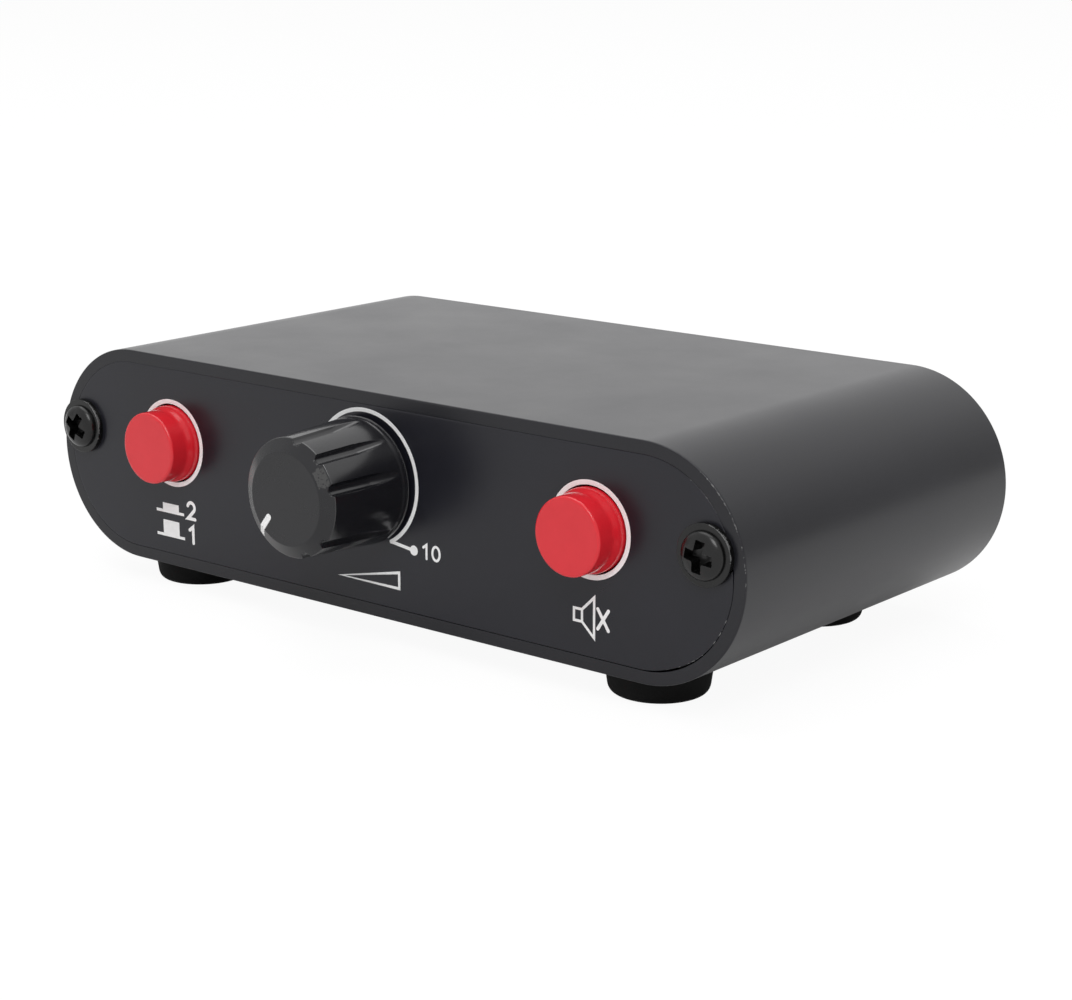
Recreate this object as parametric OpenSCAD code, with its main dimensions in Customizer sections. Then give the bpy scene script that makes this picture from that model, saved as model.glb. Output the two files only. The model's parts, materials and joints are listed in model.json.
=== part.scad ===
// Desktop audio source selector: a black extruded case on rubber feet, with a latching source button,
// a volume knob and a latching mute button in front, and three pairs of phono sockets behind.
// +X is right as seen from the front, the front faces -Y, +Z is up, and Z = 0 is under the feet.

/* [Case] */
// Width of the case over its rounded ends
case_w = 112; // [100:1:150]
// Height of the case
case_h = 28; // [26:0.5:36]
// Depth of the extruded shell
case_d = 56.5; // [46:0.5:100]
// Wall of the extruded shell
case_wall = 2.2; // [1.9:0.1:3]
// Rim of the shell left round each end panel
rim_wall = 1.6; // [1:0.1:1.8]
// Thickness of the two end panels
panel_t = 2; // [1.5:0.1:3]
// Thickness of the ribs that hold the circuit board
rib_t = 1.2; // [0.8:0.1:1.6]
// Reach of the ribs over the edge of the board
rib_grip = 1.5; // [1:0.1:2.5]

/* [Feet] */
// Height of a rubber foot
foot_h = 3.6; // [2.5:0.1:8]
// Radius of a foot where it meets the case
foot_top_r = 6.4; // [5.5:0.1:8]
// Radius of a foot near the table
foot_base_r = 6; // [4.5:0.1:7.5]
// Rounding of the lower edge of a foot
foot_round = 0.8; // [0.4:0.1:1.5]
// Radius of the dimple under a foot
foot_dimple_r = 2.4; // [1:0.1:3]
// Depth of the dimple under a foot
foot_dimple_h = 1.2; // [0.5:0.1:2]
// Front foot centre to the side of the case
foot_front_side = 17.6; // [15:0.1:40]
// Front foot centre to the front edge of the case
foot_front_end = 8.3; // [7:0.1:20]
// Rear foot centre to the side of the case
foot_rear_side = 20.2; // [15:0.1:40]
// Rear foot centre to the rear edge of the case
foot_rear_end = 11.6; // [7:0.1:20]

/* [Panel screws] */
// Screw centre to the side of the case
screw_inset = 4.7; // [4.3:0.1:5.6]
// Screw centre above the middle of the case
screw_rise = 2.6; // [0:0.1:4]
// Radius of the shank
screw_r = 1.45; // [1.2:0.05:1.6]
// Length of the shank under the head
screw_len = 9; // [6:0.5:14]
// Radius of the flange under the head
screw_flange_r = 3.6; // [3.2:0.05:3.7]
// Thickness of the flange
screw_flange_t = 0.6; // [0.4:0.1:1]
// Radius of the domed head
screw_head_r = 2.85; // [2.4:0.05:3]
// Height of the domed head over the panel
screw_head_h = 2; // [1.8:0.1:2.6]
// Radius of the dome's curve
screw_dome_r = 6; // [4:0.1:9]
// Length of each slot of the cross recess
cross_len = 3.8; // [2.4:0.1:4]
// Width of each slot of the cross recess
cross_w = 1.1; // [0.6:0.05:1.2]
// Depth of the cross recess
cross_h = 1.4; // [0.8:0.1:1.6]
// Radius of the screw channel that runs down each side of the shell
channel_r = 3; // [2.4:0.1:3.4]
// Width of the slot that opens the channel towards the inside
channel_slot = 1.2; // [0.8:0.1:2]

/* [Circuit board] */
// Thickness of the board
board_t = 1.6; // [1:0.1:2]
// Board edge to the side of the case
board_side_inset = 5; // [4.8:0.1:8]
// Board edge to the inner face of each end panel
board_end_gap = 0.5; // [0.3:0.1:2]
// Length of the pins under the board
pin_tail = 1.2; // [0.8:0.1:2]
// Radius of the pins in the board
pin_r = 0.45; // [0.3:0.05:0.6]
// Spacing of the pins of a pot or a switch
pin_pitch = 2.5; // [2:0.1:3]

/* [Controls] */
// Axis of the buttons above the middle of the case
button_rise = 2.6; // [2:0.1:4]
// Axis of the buttons above the circuit board
button_h = 6.5; // [6.2:0.1:7]
// Button centre to the side of the case
button_inset = 21.4; // [18:0.1:26]
// Axis of the knob above the middle of the case
knob_rise = 3.2; // [2.4:0.1:4.5]

/* [Volume pot] */
// Width of the pot
pot_w = 10; // [9.6:0.1:14]
// Height of the pot above its axis
pot_rise = 5.5; // [5:0.1:7]
// Depth of the pot's housing
pot_d = 11; // [10.6:0.1:16]
// Thickness of the bushing's plate
pot_plate_t = 1.2; // [0.8:0.1:2]
// Radius of the round space in the housing
pot_bore_r = 4.4; // [4.2:0.05:4.6]
// Thickness of the housing's rear wall
pot_back_t = 1; // [0.8:0.1:1.5]
// Radius of the bushing
bushing_r = 3.5; // [3.3:0.05:3.8]
// Length of bushing that stands out of the nut
bushing_spare = 0.5; // [0.2:0.1:0.8]
// Radius of the washer
washer_r = 5.5; // [4.6:0.1:5.9]
// Thickness of the washer
washer_t = 0.5; // [0.3:0.1:0.8]
// Nut across its flats
nut_w = 10; // [9:0.1:10.4]
// Thickness of the nut
nut_t = 2; // [1.5:0.1:2.2]
// Radius of the control shaft
shaft_r = 3; // [2.6:0.05:3.1]
// Depth of the flat on the shaft
shaft_flat = 1.5; // [0.8:0.1:1.8]
// Length of the flat on the shaft
shaft_flat_len = 7; // [5:0.1:8]
// Radius of the collar that keeps the shaft in
collar_r = 3.8; // [3.5:0.05:4]
// Thickness of the collar
collar_t = 1; // [0.6:0.1:1.4]
// Radius of the shaft inside the housing
spindle_r = 1.8; // [1.4:0.05:2]
// Thickness of a resistance element
element_t = 0.8; // [0.5:0.1:1]
// Radius of the hole in a resistance element
element_hole_r = 2.4; // [2.2:0.05:2.8]
// Thickness of a wiper
wiper_t = 1.2; // [0.8:0.1:1.4]
// Radius of a wiper's hub
wiper_hub_r = 2.7; // [2.4:0.05:3]
// Reach of a wiper's arm from the axis
wiper_reach = 4; // [3.4:0.05:4.05]
// Width of a wiper's arm
wiper_w = 1.6; // [1:0.1:2.4]

/* [Knob] */
// Space between the knob and the panel
knob_gap = 0.8; // [0.5:0.1:1.5]
// Height of the knob
knob_h = 12.8; // [12:0.1:18]
// Radius of the skirt at the panel
skirt_r = 7.9; // [7.7:0.05:9]
// Height of the skirt's straight edge
skirt_h = 0.7; // [0.4:0.1:1.5]
// Height of the curve from the skirt to the grip
skirt_curve_h = 1.2; // [0.6:0.1:2]
// Radius of the grip where it meets the skirt's curve
grip_base_r = 7.5; // [7.3:0.05:7.6]
// Radius of the grip behind the bevel
grip_r = 7.1; // [7:0.05:7.3]
// Radius of the flat front face
knob_face_r = 5.5; // [4.5:0.1:6.6]
// Height of the bevel round the front face
knob_bevel_h = 1.1; // [0.5:0.1:2]
// Radius of the round cutter that makes a finger groove
groove_r = 0.75; // [0.5:0.05:1]
// Depth of a finger groove behind the bevel
groove_h = 0.6; // [0.3:0.05:0.7]
// Length of the plain part of the grip behind the grooves
groove_start = 0.6; // [0.4:0.1:2]
// Radius of the hollow over the nut
knob_hollow_r = 6.1; // [6.02:0.02:6.3]
// Thickness of the front of the knob over the shaft
knob_front_t = 2; // [1.5:0.1:3]
// Radius of the boss that holds the shaft
knob_boss_r = 4.4; // [4:0.1:5]
// Thickness of the knob's wall round its inner hollow
knob_wall = 1.35; // [1.2:0.05:1.8]

/* [Push switches] */
// Travel of a button
button_travel = 2.5; // [1.5:0.1:3]
// Width of a switch over its cover
switch_w = 12; // [11.8:0.1:14]
// Height of a switch above its axis
switch_rise = 5.5; // [5.3:0.1:7]
// Depth of a switch frame
switch_d = 14; // [13:0.5:20]
// Thickness of the switch cover's front plate
cover_t = 1; // [0.6:0.1:1.5]
// Thickness of the cover's side clips
clip_t = 0.5; // [0.3:0.1:0.8]
// Length of the cover's side clips
clip_len = 6; // [3:0.5:9]
// Height of the cover's side clips
clip_h = 4; // [2:0.5:6]
// Side of the square space in a switch frame
frame_space = 9; // [8.9:0.05:9.2]
// Thickness of the frame's rear wall
frame_back_t = 1.5; // [1:0.1:2]
// Length of the plunger's block
plunger_len = 6; // [5.5:0.1:6.5]
// Side of the plunger's square stem
stem_w = 5; // [4:0.1:5.2]
// Mean radius of the return spring
spring_r = 1.9; // [1.7:0.05:1.95]
// Radius of the spring's wire
spring_wire_r = 0.22; // [0.15:0.01:0.25]
// Turns of the return spring
spring_turns = 8; // [5:1:10]
// Radius of the pocket for the spring in the plunger
spring_pocket_r = 2.3; // [2.25:0.05:2.4]
// Depth of the pocket for the spring in the plunger
spring_pocket_h = 2.5; // [1.5:0.1:2.6]
// Radius of the post that centres the spring
spring_post_r = 1.2; // [0.8:0.1:1.3]
// Length of the post that centres the spring
spring_post_len = 2; // [1:0.1:3]
// Width of a sliding contact
contact_w = 1.6; // [1:0.1:2]
// Length of a sliding contact
contact_len = 4.4; // [3:0.1:4.8]
// Thickness of a sliding contact
contact_t = 0.6; // [0.4:0.1:0.8]
// Radius of the latch wire
latch_r = 0.35; // [0.25:0.05:0.4]
// Length of the latch wire from its pivot to its tip
latch_len = 6.5; // [6:0.1:7]
// Height of the latch wire above the button's axis
latch_rise = 3.6; // [3.5:0.05:3.7]
// Floor of the latch track above the button's axis
track_rise = 2.5; // [2.4:0.05:2.6]
// Width of the latch track
track_w = 3.4; // [3:0.1:4]
// Thickness of the plunger in front of the latch track
track_end_t = 1.2; // [0.8:0.1:1.4]
// Side of the cam in the latch track
cam_w = 0.7; // [0.4:0.05:0.8]

/* [Button caps] */
// Height of a cap over the panel
cap_proud = 4.2; // [3:0.1:6]
// Radius of a cap
cap_r = 4.65; // [4.3:0.05:4.8]
// Rounding of a cap's front edge
cap_round = 0.6; // [0.2:0.1:1]
// Radius of the flange at the root of a cap
cap_flange_r = 4.95; // [4.9:0.05:5.4]
// Height of the flange over the panel
cap_flange_h = 1.2; // [0.2:0.1:2]
// Length of a cap behind the panel
cap_guide = 1; // [0.5:0.1:2]
// Thickness of a cap's front over the stem
cap_front_t = 1.5; // [1:0.1:2]

/* [Phono sockets] */
// Axis of the sockets above the middle of the case
jack_rise = 2.6; // [2:0.1:4]
// Height of a socket over the rear panel
jack_proud = 9.5; // [8:0.1:12]
// Spacing of the two sockets of a pair
jack_pitch = 14; // [13:0.1:15]
// Gap between the outer socket bodies and the screw channels
jack_side_gap = 2.3; // [0.5:0.1:4]
// Width of a socket body
jack_body_w = 26; // [25:0.5:28]
// Height of a socket body above its axis
jack_body_rise = 5.9; // [5.6:0.1:7]
// Depth of a socket body
jack_body_d = 12; // [8:0.5:13]
// Outer radius of the metal sleeve
sleeve_r = 4.15; // [4.1:0.05:4.3]
// Wall of the sleeve
sleeve_wall = 0.65; // [0.55:0.05:0.8]
// How much the sleeve is turned down inside its collar
sleeve_step = 0.25; // [0.2:0.05:0.35]
// Radius of the coloured collar
jack_collar_r = 5; // [4.7:0.05:5.2]
// Height of the coloured collar over the rear panel
jack_collar_h = 1.2; // [0.5:0.1:2]
// Depth of the insulator inside the panel
insert_h = 2.5; // [2:0.1:4]
// Thickness of the insulator behind the sleeve
insert_web_t = 1.5; // [1:0.1:1.8]
// How far the insulator lies inside the mouth of the sleeve
insert_recess = 0.8; // [0.3:0.1:2]
// Radius of the bore for the plug's pin
socket_bore_r = 1.65; // [1.62:0.01:1.7]
// Wall of the socket's centre contact
contact_wall = 0.15; // [0.1:0.01:0.25]
// How far the centre contact lies inside the insulator
contact_recess = 0.8; // [0.3:0.1:2]
// Thickness of the closed end of the centre contact
contact_floor = 1; // [0.6:0.1:1.4]
// Radius of the tail of the centre contact
tail_r = 0.9; // [0.6:0.05:1]
// Spacing between the rows of pins behind a socket body
tail_pitch = 2; // [1.6:0.1:2.5]

/* [Fits] */
// Gap all round an end panel
panel_gap = 0.15; // [0.1:0.05:0.3]
// Gap round a screw, a bushing or a collar in its hole
hole_gap = 0.1; // [0.05:0.05:0.3]
// Gap round a cap in its panel hole, and round a plunger
slide_gap = 0.2; // [0.15:0.05:0.3]
// Gap round a turning shaft or pivot
run_gap = 0.05; // [0.02:0.01:0.08]
// Gap between pieces that are pushed together
push_gap = 0.03; // [0.02:0.01:0.05]
// Gap at the ends of moving pieces
end_gap = 0.3; // [0.2:0.05:0.4]

/* [Hidden] */
$fn = 96;

// Colours
anodised = [0.10, 0.10, 0.11];
black_steel = [0.05, 0.05, 0.05];
black_rubber = [0.03, 0.03, 0.03];
black_plastic = [0.07, 0.07, 0.07];
cap_red = [0.85, 0.08, 0.10];
channel_white = [0.93, 0.93, 0.90];
board_green = [0.05, 0.30, 0.15];
nickel = [0.78, 0.76, 0.70];
brass = [0.80, 0.62, 0.25];
phenolic = [0.45, 0.28, 0.14];

// Heights
mid_z = foot_h + case_h / 2;
button_z = mid_z + button_rise;
knob_z = mid_z + knob_rise;
jack_z = mid_z + jack_rise;
screw_z = mid_z + screw_rise;
board_top_z = button_z - button_h;
board_z = board_top_z - board_t;
pin_z = board_z - pin_tail;

// Depths: the middle of the whole depth, from knob to sockets, is Y = 0
knob_proud = knob_gap + knob_h;
front_y = (knob_proud - case_d - jack_proud) / 2;
rear_y = front_y + case_d;
front_in_y = front_y + panel_t;
rear_in_y = rear_y - panel_t;

// Places across the width of the case
screw_x = case_w / 2 - screw_inset;
button_x = case_w / 2 - button_inset;
pair_pitch = screw_x - channel_r - jack_side_gap - jack_body_w / 2;
screw_hole_r = screw_r + hole_gap;
board_w = case_w - 2 * board_side_inset;
foot_arc_steps = 6;

// Volume pot
pot_y = front_in_y + pot_plate_t;
pot_space_d = pot_d - pot_back_t;
shaft_tip_y = front_y - knob_proud + knob_front_t;
collar_y = pot_y + end_gap;
front_element_y = collar_y + collar_t + end_gap;
front_wiper_y = front_element_y + element_t + end_gap;
rear_element_y = pot_y + pot_space_d - element_t - end_gap;
rear_wiper_y = rear_element_y - end_gap - wiper_t;
pot_pin_z = knob_z - pot_bore_r;
pointer_angle = -140;

// Knob, with its finger grooves at these angles round the grip, seen from the front
bevel_z = knob_proud - knob_bevel_h;
grip_z = knob_gap + skirt_h + skirt_curve_h;
hollow_top_z = washer_t + nut_t + bushing_spare + end_gap;
groove_angles = [-71, -41, 16, 48, 80];
skirt_arc_steps = 5;

// Push switches, from the cap back to the rear wall of the frame
cap_back_y = front_in_y + cap_guide;
switch_y = cap_back_y + button_travel + end_gap;
frame_y = switch_y + cover_t;
frame_w = switch_w - 2 * clip_t;
space_end_y = frame_y + switch_d - frame_back_t;
plunger_y = frame_y + end_gap;
plunger_back_y = plunger_y + plunger_len;
plunger_w = frame_space - 2 * slide_gap;
stem_tip_y = front_y - cap_proud + cap_front_t;
spring_y0 = plunger_back_y - spring_pocket_h + spring_wire_r + push_gap;
spring_y1 = space_end_y - spring_wire_r - push_gap;
spring_sides = 6;
spring_steps = 14;
track_y = plunger_y + track_end_t;
latch_tip_y = track_y + button_travel + 2 * latch_r;
latch_pivot_y = latch_tip_y + latch_len;
contact_y = plunger_y + plunger_len / 2;
floor_z = button_z - frame_space / 2;

// Phono sockets, by pair: name and side of the case
in_1_x = pair_pitch;
in_2_x = 0;
out_x = -pair_pitch;
pair_xs = [in_1_x, in_2_x, out_x];
sleeve_in_r = sleeve_r - sleeve_wall;
sleeve_root_r = sleeve_r - sleeve_step;
sleeve_mid_r = (sleeve_in_r + sleeve_root_r) / 2;
sleeve_len = panel_t + jack_proud;
groove_floor = insert_web_t - insert_h;
insert_top = sleeve_len - insert_recess;
insert_bore_r = socket_bore_r + contact_wall + push_gap;
contact_top = insert_top - contact_recess;
collar_top = panel_t + jack_collar_h;
tail_end_y = rear_in_y - jack_body_d - tail_pitch / 2;

// Centres of the pins of each kind, in X and Y
pot_pins = [for (y = [front_element_y, rear_element_y], i = [-1:1]) [i * pin_pitch, y + element_t / 2]];
function switch_pins(x) =
    [for (s = [-1, 1], i = [-1:1]) [x + s * pin_pitch, contact_y + i * pin_pitch]];
function jack_xs(x) = [x - jack_pitch / 2, x + jack_pitch / 2];
jack_pins = [for (p = pair_xs, x = jack_xs(p), k = [0, 1]) [x, tail_end_y - k * tail_pitch]];
board_pins = concat(pot_pins, switch_pins(-button_x), switch_pins(button_x), jack_pins);

// Outline with straight sides and half-round ends
module stadium(w, h) {
    square([w - h, h], center = true);
    for (s = [-1, 1])
        translate([s * (w - h) / 2, 0])
            circle(d = h);
}

// A flat outline in X and Z carried back from depth y
module along_depth(y, len)
    translate([0, y + len, 0])
        rotate([90, 0, 0])
            linear_extrude(len)
                children();

// A round bar that runs back from depth y
module rod(x, z, y, len, r)
    translate([x, y + len, z])
        rotate([90, 0, 0])
            cylinder(r = r, h = len);

// An upright round bar between two heights
module post(x, y, z0, z1, r)
    translate([x, y, z0])
        cylinder(r = r, h = z1 - z0);

// A block centred on x, from depth y and between two heights
module block(x, w, y, len, z0, z1)
    translate([x - w / 2, y, z0])
        cube([w, len, z1 - z0]);

// Upright pins through the board, up to a height
module pins(places, top_z, r)
    for (p = places)
        post(p[0], p[1], pin_z, top_z, r);

module at_screws()
    for (s = [-1, 1])
        translate([s * screw_x, 0])
            children();

module shell_section() {
    difference() {
        union() {
            difference() {
                stadium(case_w, case_h);
                stadium(case_w - 2 * case_wall, case_h - 2 * case_wall);
            }
            intersection() {
                stadium(case_w - case_wall, case_h - case_wall);
                union() {
                    at_screws()
                        translate([0, screw_rise])
                            circle(r = channel_r);
                    for (s = [-1, 1], z = [board_top_z + hole_gap, board_z - hole_gap - rib_t])
                        translate([s * case_w / 2, z - mid_z + rib_t / 2])
                            square([2 * (board_side_inset + rib_grip), rib_t], center = true);
                }
            }
        }
        at_screws()
            translate([0, screw_rise])
                circle(r = screw_r + push_gap);
        for (s = [-1, 1])
            translate([s * (screw_x - channel_r), screw_rise])
                square([2 * channel_r, channel_slot], center = true);
    }
}

// Seat of an end panel, cut on past the end of the shell
module panel_seat(y)
    along_depth(y, 2 * panel_t)
        stadium(case_w - 2 * rim_wall, case_h - 2 * rim_wall);

module case_shell()
    color(anodised)
        translate([0, 0, mid_z])
            difference() {
                along_depth(front_y, case_d)
                    shell_section();
                panel_seat(front_y - panel_t);
                panel_seat(rear_in_y);
            }

// Blank end panel with its two screw holes
module panel_blank(y)
    translate([0, 0, mid_z])
        along_depth(y, panel_t)
            difference() {
                stadium(case_w - 2 * (rim_wall + panel_gap), case_h - 2 * (rim_wall + panel_gap));
                at_screws()
                    translate([0, screw_rise])
                        circle(r = screw_hole_r);
            }

module front_panel()
    color(anodised)
        difference() {
            panel_blank(front_y);
            rod(0, knob_z, front_y - panel_t, 3 * panel_t, bushing_r + hole_gap);
            for (s = [-1, 1])
                rod(s * button_x, button_z, front_y - panel_t, 3 * panel_t, cap_flange_r + slide_gap);
        }

module rear_panel()
    color(anodised)
        difference() {
            panel_blank(rear_in_y);
            for (p = pair_xs, x = jack_xs(p))
                rod(x, jack_z, rear_in_y - panel_t, 3 * panel_t, jack_collar_r + hole_gap);
        }

// Flanged screw with a domed head and a cross recess, head up, its flange on Z = 0
module panel_screw()
    difference() {
        union() {
            translate([0, 0, -screw_len])
                cylinder(r = screw_r, h = screw_len + screw_flange_t / 2);
            cylinder(r = screw_flange_r, h = screw_flange_t);
            intersection() {
                cylinder(r = screw_head_r, h = screw_head_h);
                translate([0, 0, screw_head_h - screw_dome_r])
                    sphere(r = screw_dome_r);
            }
        }
        for (a = [0, 90])
            rotate(a)
                translate([-cross_len / 2, -cross_w / 2, screw_head_h - cross_h])
                    cube([cross_len, cross_w, 2 * cross_h]);
    }

module panel_screws(y, turn)
    color(black_steel)
        for (s = [-1, 1])
            translate([s * screw_x, y, screw_z])
                rotate([turn, 0, 0])
                    panel_screw();

module front_panel_screws() panel_screws(front_y, 90);
module rear_panel_screws() panel_screws(rear_y, -90);

// Tapered rubber foot with a rounded lower edge and a dimple below
module foot(x, y)
    color(black_rubber)
        translate([x, y, 0])
            difference() {
                rotate_extrude()
                    polygon(concat(
                        [[0, 0]],
                        [for (i = [0:foot_arc_steps])
                            let (a = 90 * i / foot_arc_steps)
                            [foot_base_r - foot_round * (1 - sin(a)), foot_round * (1 - cos(a))]],
                        [[foot_top_r, foot_h], [0, foot_h]]
                    ));
                translate([0, 0, -foot_dimple_h])
                    cylinder(r = foot_dimple_r, h = 2 * foot_dimple_h);
            }

module foot_front_left() foot(foot_front_side - case_w / 2, front_y + foot_front_end);
module foot_front_right() foot(case_w / 2 - foot_front_side, front_y + foot_front_end);
module foot_rear_left() foot(foot_rear_side - case_w / 2, rear_y - foot_rear_end);
module foot_rear_right() foot(case_w / 2 - foot_rear_side, rear_y - foot_rear_end);

module circuit_board()
    color(board_green)
        difference() {
            block(0, board_w, front_in_y + board_end_gap, case_d - 2 * (panel_t + board_end_gap),
                board_z, board_top_z);
            pins(board_pins, board_top_z + board_t, pin_r + hole_gap);
        }

// Volume pot: two resistance elements in one housing, turned by one shaft
module pot_housing()
    color(black_plastic)
        difference() {
            block(0, pot_w, pot_y, pot_d, board_top_z, knob_z + pot_rise);
            rod(0, knob_z, pot_y - pot_space_d, 2 * pot_space_d, pot_bore_r);
            pins(pot_pins, knob_z, pin_r + hole_gap);
        }

module pot_bushing()
    color(nickel)
        difference() {
            union() {
                block(0, pot_w, front_in_y, pot_plate_t, board_top_z, knob_z + pot_rise);
                rod(0, knob_z, front_y - washer_t - nut_t - bushing_spare,
                    washer_t + nut_t + bushing_spare + panel_t + pot_plate_t / 2, bushing_r);
            }
            rod(0, knob_z, front_y - pot_d, 2 * pot_d, shaft_r + run_gap);
        }

module pot_washer()
    color(nickel)
        difference() {
            rod(0, knob_z, front_y - washer_t, washer_t, washer_r);
            rod(0, knob_z, front_y - 2 * washer_t, 3 * washer_t, bushing_r + hole_gap);
        }

module pot_nut()
    color(nickel)
        difference() {
            translate([0, front_y - washer_t, knob_z])
                rotate([90, 0, 0])
                    cylinder(d = nut_w / cos(30), h = nut_t, $fn = 6);
            rod(0, knob_z, front_y - washer_t - 2 * nut_t, 3 * nut_t, bushing_r + push_gap);
        }

module pot_element(y)
    color(phenolic)
        difference() {
            rod(0, knob_z, y, element_t, pot_bore_r - push_gap);
            rod(0, knob_z, y - element_t, 3 * element_t, element_hole_r);
        }

module pot_front_element() pot_element(front_element_y);
module pot_rear_element() pot_element(rear_element_y);

module pot_terminals()
    color(nickel)
        pins(pot_pins, pot_pin_z, pin_r);

// Cut along the flat of the shaft, seen with the pointer down
module shaft_flat_cut(r, gap)
    translate([0, shaft_tip_y - knob_front_t, knob_z])
        rotate([0, -pointer_angle, 0])
            translate([r - shaft_flat + gap, 0, -2 * r])
                cube([2 * r, shaft_flat_len + knob_front_t, 4 * r]);

module pot_shaft()
    color(nickel) {
        difference() {
            rod(0, knob_z, shaft_tip_y, collar_y + collar_t - shaft_tip_y, shaft_r);
            shaft_flat_cut(shaft_r, 0);
        }
        rod(0, knob_z, collar_y, collar_t, collar_r);
        rod(0, knob_z, collar_y + collar_t / 2, rear_element_y - collar_y, spindle_r);
    }

module wiper(y)
    translate([0, 0, knob_z])
        along_depth(y, wiper_t)
            difference() {
                union() {
                    circle(r = wiper_hub_r);
                    rotate(pointer_angle)
                        translate([0, -wiper_w / 2])
                            square([wiper_reach, wiper_w]);
                }
                circle(r = spindle_r + push_gap);
            }

module pot_wipers()
    color(brass) {
        wiper(front_wiper_y);
        wiper(rear_wiper_y);
    }

// Knob outline as radius and height over the panel: skirt, curve, grip, bevel and face
module knob_outline()
    polygon(concat(
        [[0, knob_gap], [skirt_r, knob_gap]],
        [for (i = [0:skirt_arc_steps])
            let (a = 90 * i / skirt_arc_steps)
            [skirt_r - (skirt_r - grip_base_r) * sin(a), grip_z - skirt_curve_h * cos(a)]],
        [[grip_r, bevel_z], [knob_face_r, knob_proud], [0, knob_proud]]
    ));

module volume_knob()
    color(black_plastic)
        difference() {
            translate([0, front_y, knob_z])
                rotate([90, 0, 0])
                    difference() {
                        rotate_extrude()
                            knob_outline();
                        for (a = groove_angles)
                            rotate(a)
                                translate([grip_r + groove_r - groove_h, 0, grip_z + groove_start])
                                    cylinder(r = groove_r, h = knob_proud);
                        cylinder(r = knob_hollow_r, h = hollow_top_z);
                        difference() {
                            cylinder(r = grip_r - knob_wall, h = bevel_z - knob_front_t);
                            cylinder(r = knob_boss_r, h = knob_proud);
                        }
                    }
            difference() {
                rod(0, knob_z, shaft_tip_y, front_y - shaft_tip_y, shaft_r + push_gap);
                shaft_flat_cut(shaft_r, push_gap);
            }
        }

// Push switch: frame on the board, clipped cover, plunger, contacts, spring and latch wire
module switch_frame(x)
    color(black_plastic) {
        difference() {
            block(x, frame_w, frame_y, switch_d, board_top_z, button_z + switch_rise);
            block(x, frame_space, frame_y - switch_d, 2 * switch_d - frame_back_t,
                floor_z, button_z + frame_space / 2);
            pins(switch_pins(x), button_z, pin_r + hole_gap);
            post(x, latch_pivot_y, button_z, button_z + 2 * switch_rise, latch_r + run_gap);
        }
        rod(x, button_z, space_end_y - spring_post_len, spring_post_len + frame_back_t / 2, spring_post_r);
    }

module switch_cover(x)
    color(nickel) {
        difference() {
            block(x, switch_w, switch_y, cover_t, board_top_z, button_z + switch_rise);
            block(x, stem_w + 2 * slide_gap, switch_y - cover_t, 3 * cover_t,
                button_z - stem_w / 2 - slide_gap, button_z + stem_w / 2 + slide_gap);
        }
        for (s = [-1, 1])
            block(x + s * (frame_w + clip_t) / 2, clip_t, switch_y + cover_t / 2, clip_len + cover_t / 2,
                button_z - clip_h / 2, button_z + clip_h / 2);
    }

module switch_terminals(x)
    color(nickel)
        pins(switch_pins(x), floor_z, pin_r);

module contact_bars(x, gap)
    for (s = [-1, 1])
        block(x + s * pin_pitch, contact_w + 2 * gap, contact_y - contact_len / 2 - gap, contact_len + 2 * gap,
            button_z - plunger_w / 2 - gap, button_z - plunger_w / 2 + contact_t + gap);

module switch_plunger(x)
    color(channel_white) {
        difference() {
            union() {
                block(x, plunger_w, plunger_y, plunger_len, button_z - plunger_w / 2, button_z + plunger_w / 2);
                block(x, stem_w, stem_tip_y, plunger_y + plunger_len / 4 - stem_tip_y,
                    button_z - stem_w / 2, button_z + stem_w / 2);
            }
            contact_bars(x, push_gap);
            rod(x, button_z, plunger_back_y - spring_pocket_h, plunger_len, spring_pocket_r);
            block(x, track_w, track_y, 2 * plunger_len, button_z + track_rise, button_z + plunger_w);
        }
        translate([x - track_w / 2 + cam_w, latch_tip_y - button_travel / 2, button_z + track_rise - push_gap])
            rotate(45)
                translate([-cam_w / 2, -cam_w / 2, 0])
                    cube([cam_w, cam_w, latch_rise - track_rise - latch_r - slide_gap]);
    }

module switch_contacts(x)
    color(brass)
        contact_bars(x, 0);

// Coil as one tube of rings, its ends closed by flat faces
module switch_spring(x) {
    count = spring_turns * spring_steps;
    points = [
        for (i = [0:count], j = [0:spring_sides - 1])
            let (
                turn = 360 * i / spring_steps,
                side = 360 * j / spring_sides,
                r = spring_r + spring_wire_r * cos(side)
            )
            [
                x + r * cos(turn),
                spring_y0 + (spring_y1 - spring_y0) * i / count + spring_wire_r * sin(side),
                button_z + r * sin(turn)
            ]
    ];
    walls = [
        for (i = [0:count - 1], j = [0:spring_sides - 1])
            let (a = i * spring_sides + j, b = i * spring_sides + (j + 1) % spring_sides)
            each [[a, b, b + spring_sides], [a, b + spring_sides, a + spring_sides]]
    ];
    start = [for (j = [1:spring_sides - 2]) [0, j + 1, j]];
    last = count * spring_sides;
    finish = [for (j = [1:spring_sides - 2]) [last, last + j, last + j + 1]];
    color(nickel)
        polyhedron(points, concat(walls, start, finish));
}

// Latch wire: an upright pivot in the frame, an arm along the track and a tip that rides round the cam
module switch_latch(x)
    color(nickel) {
        post(x, latch_pivot_y, button_z + latch_rise - latch_r, button_z + switch_rise, latch_r);
        rod(x, button_z + latch_rise, latch_tip_y, latch_len, latch_r);
        post(x, latch_tip_y, button_z + track_rise + slide_gap, button_z + latch_rise + latch_r, latch_r);
    }

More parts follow.
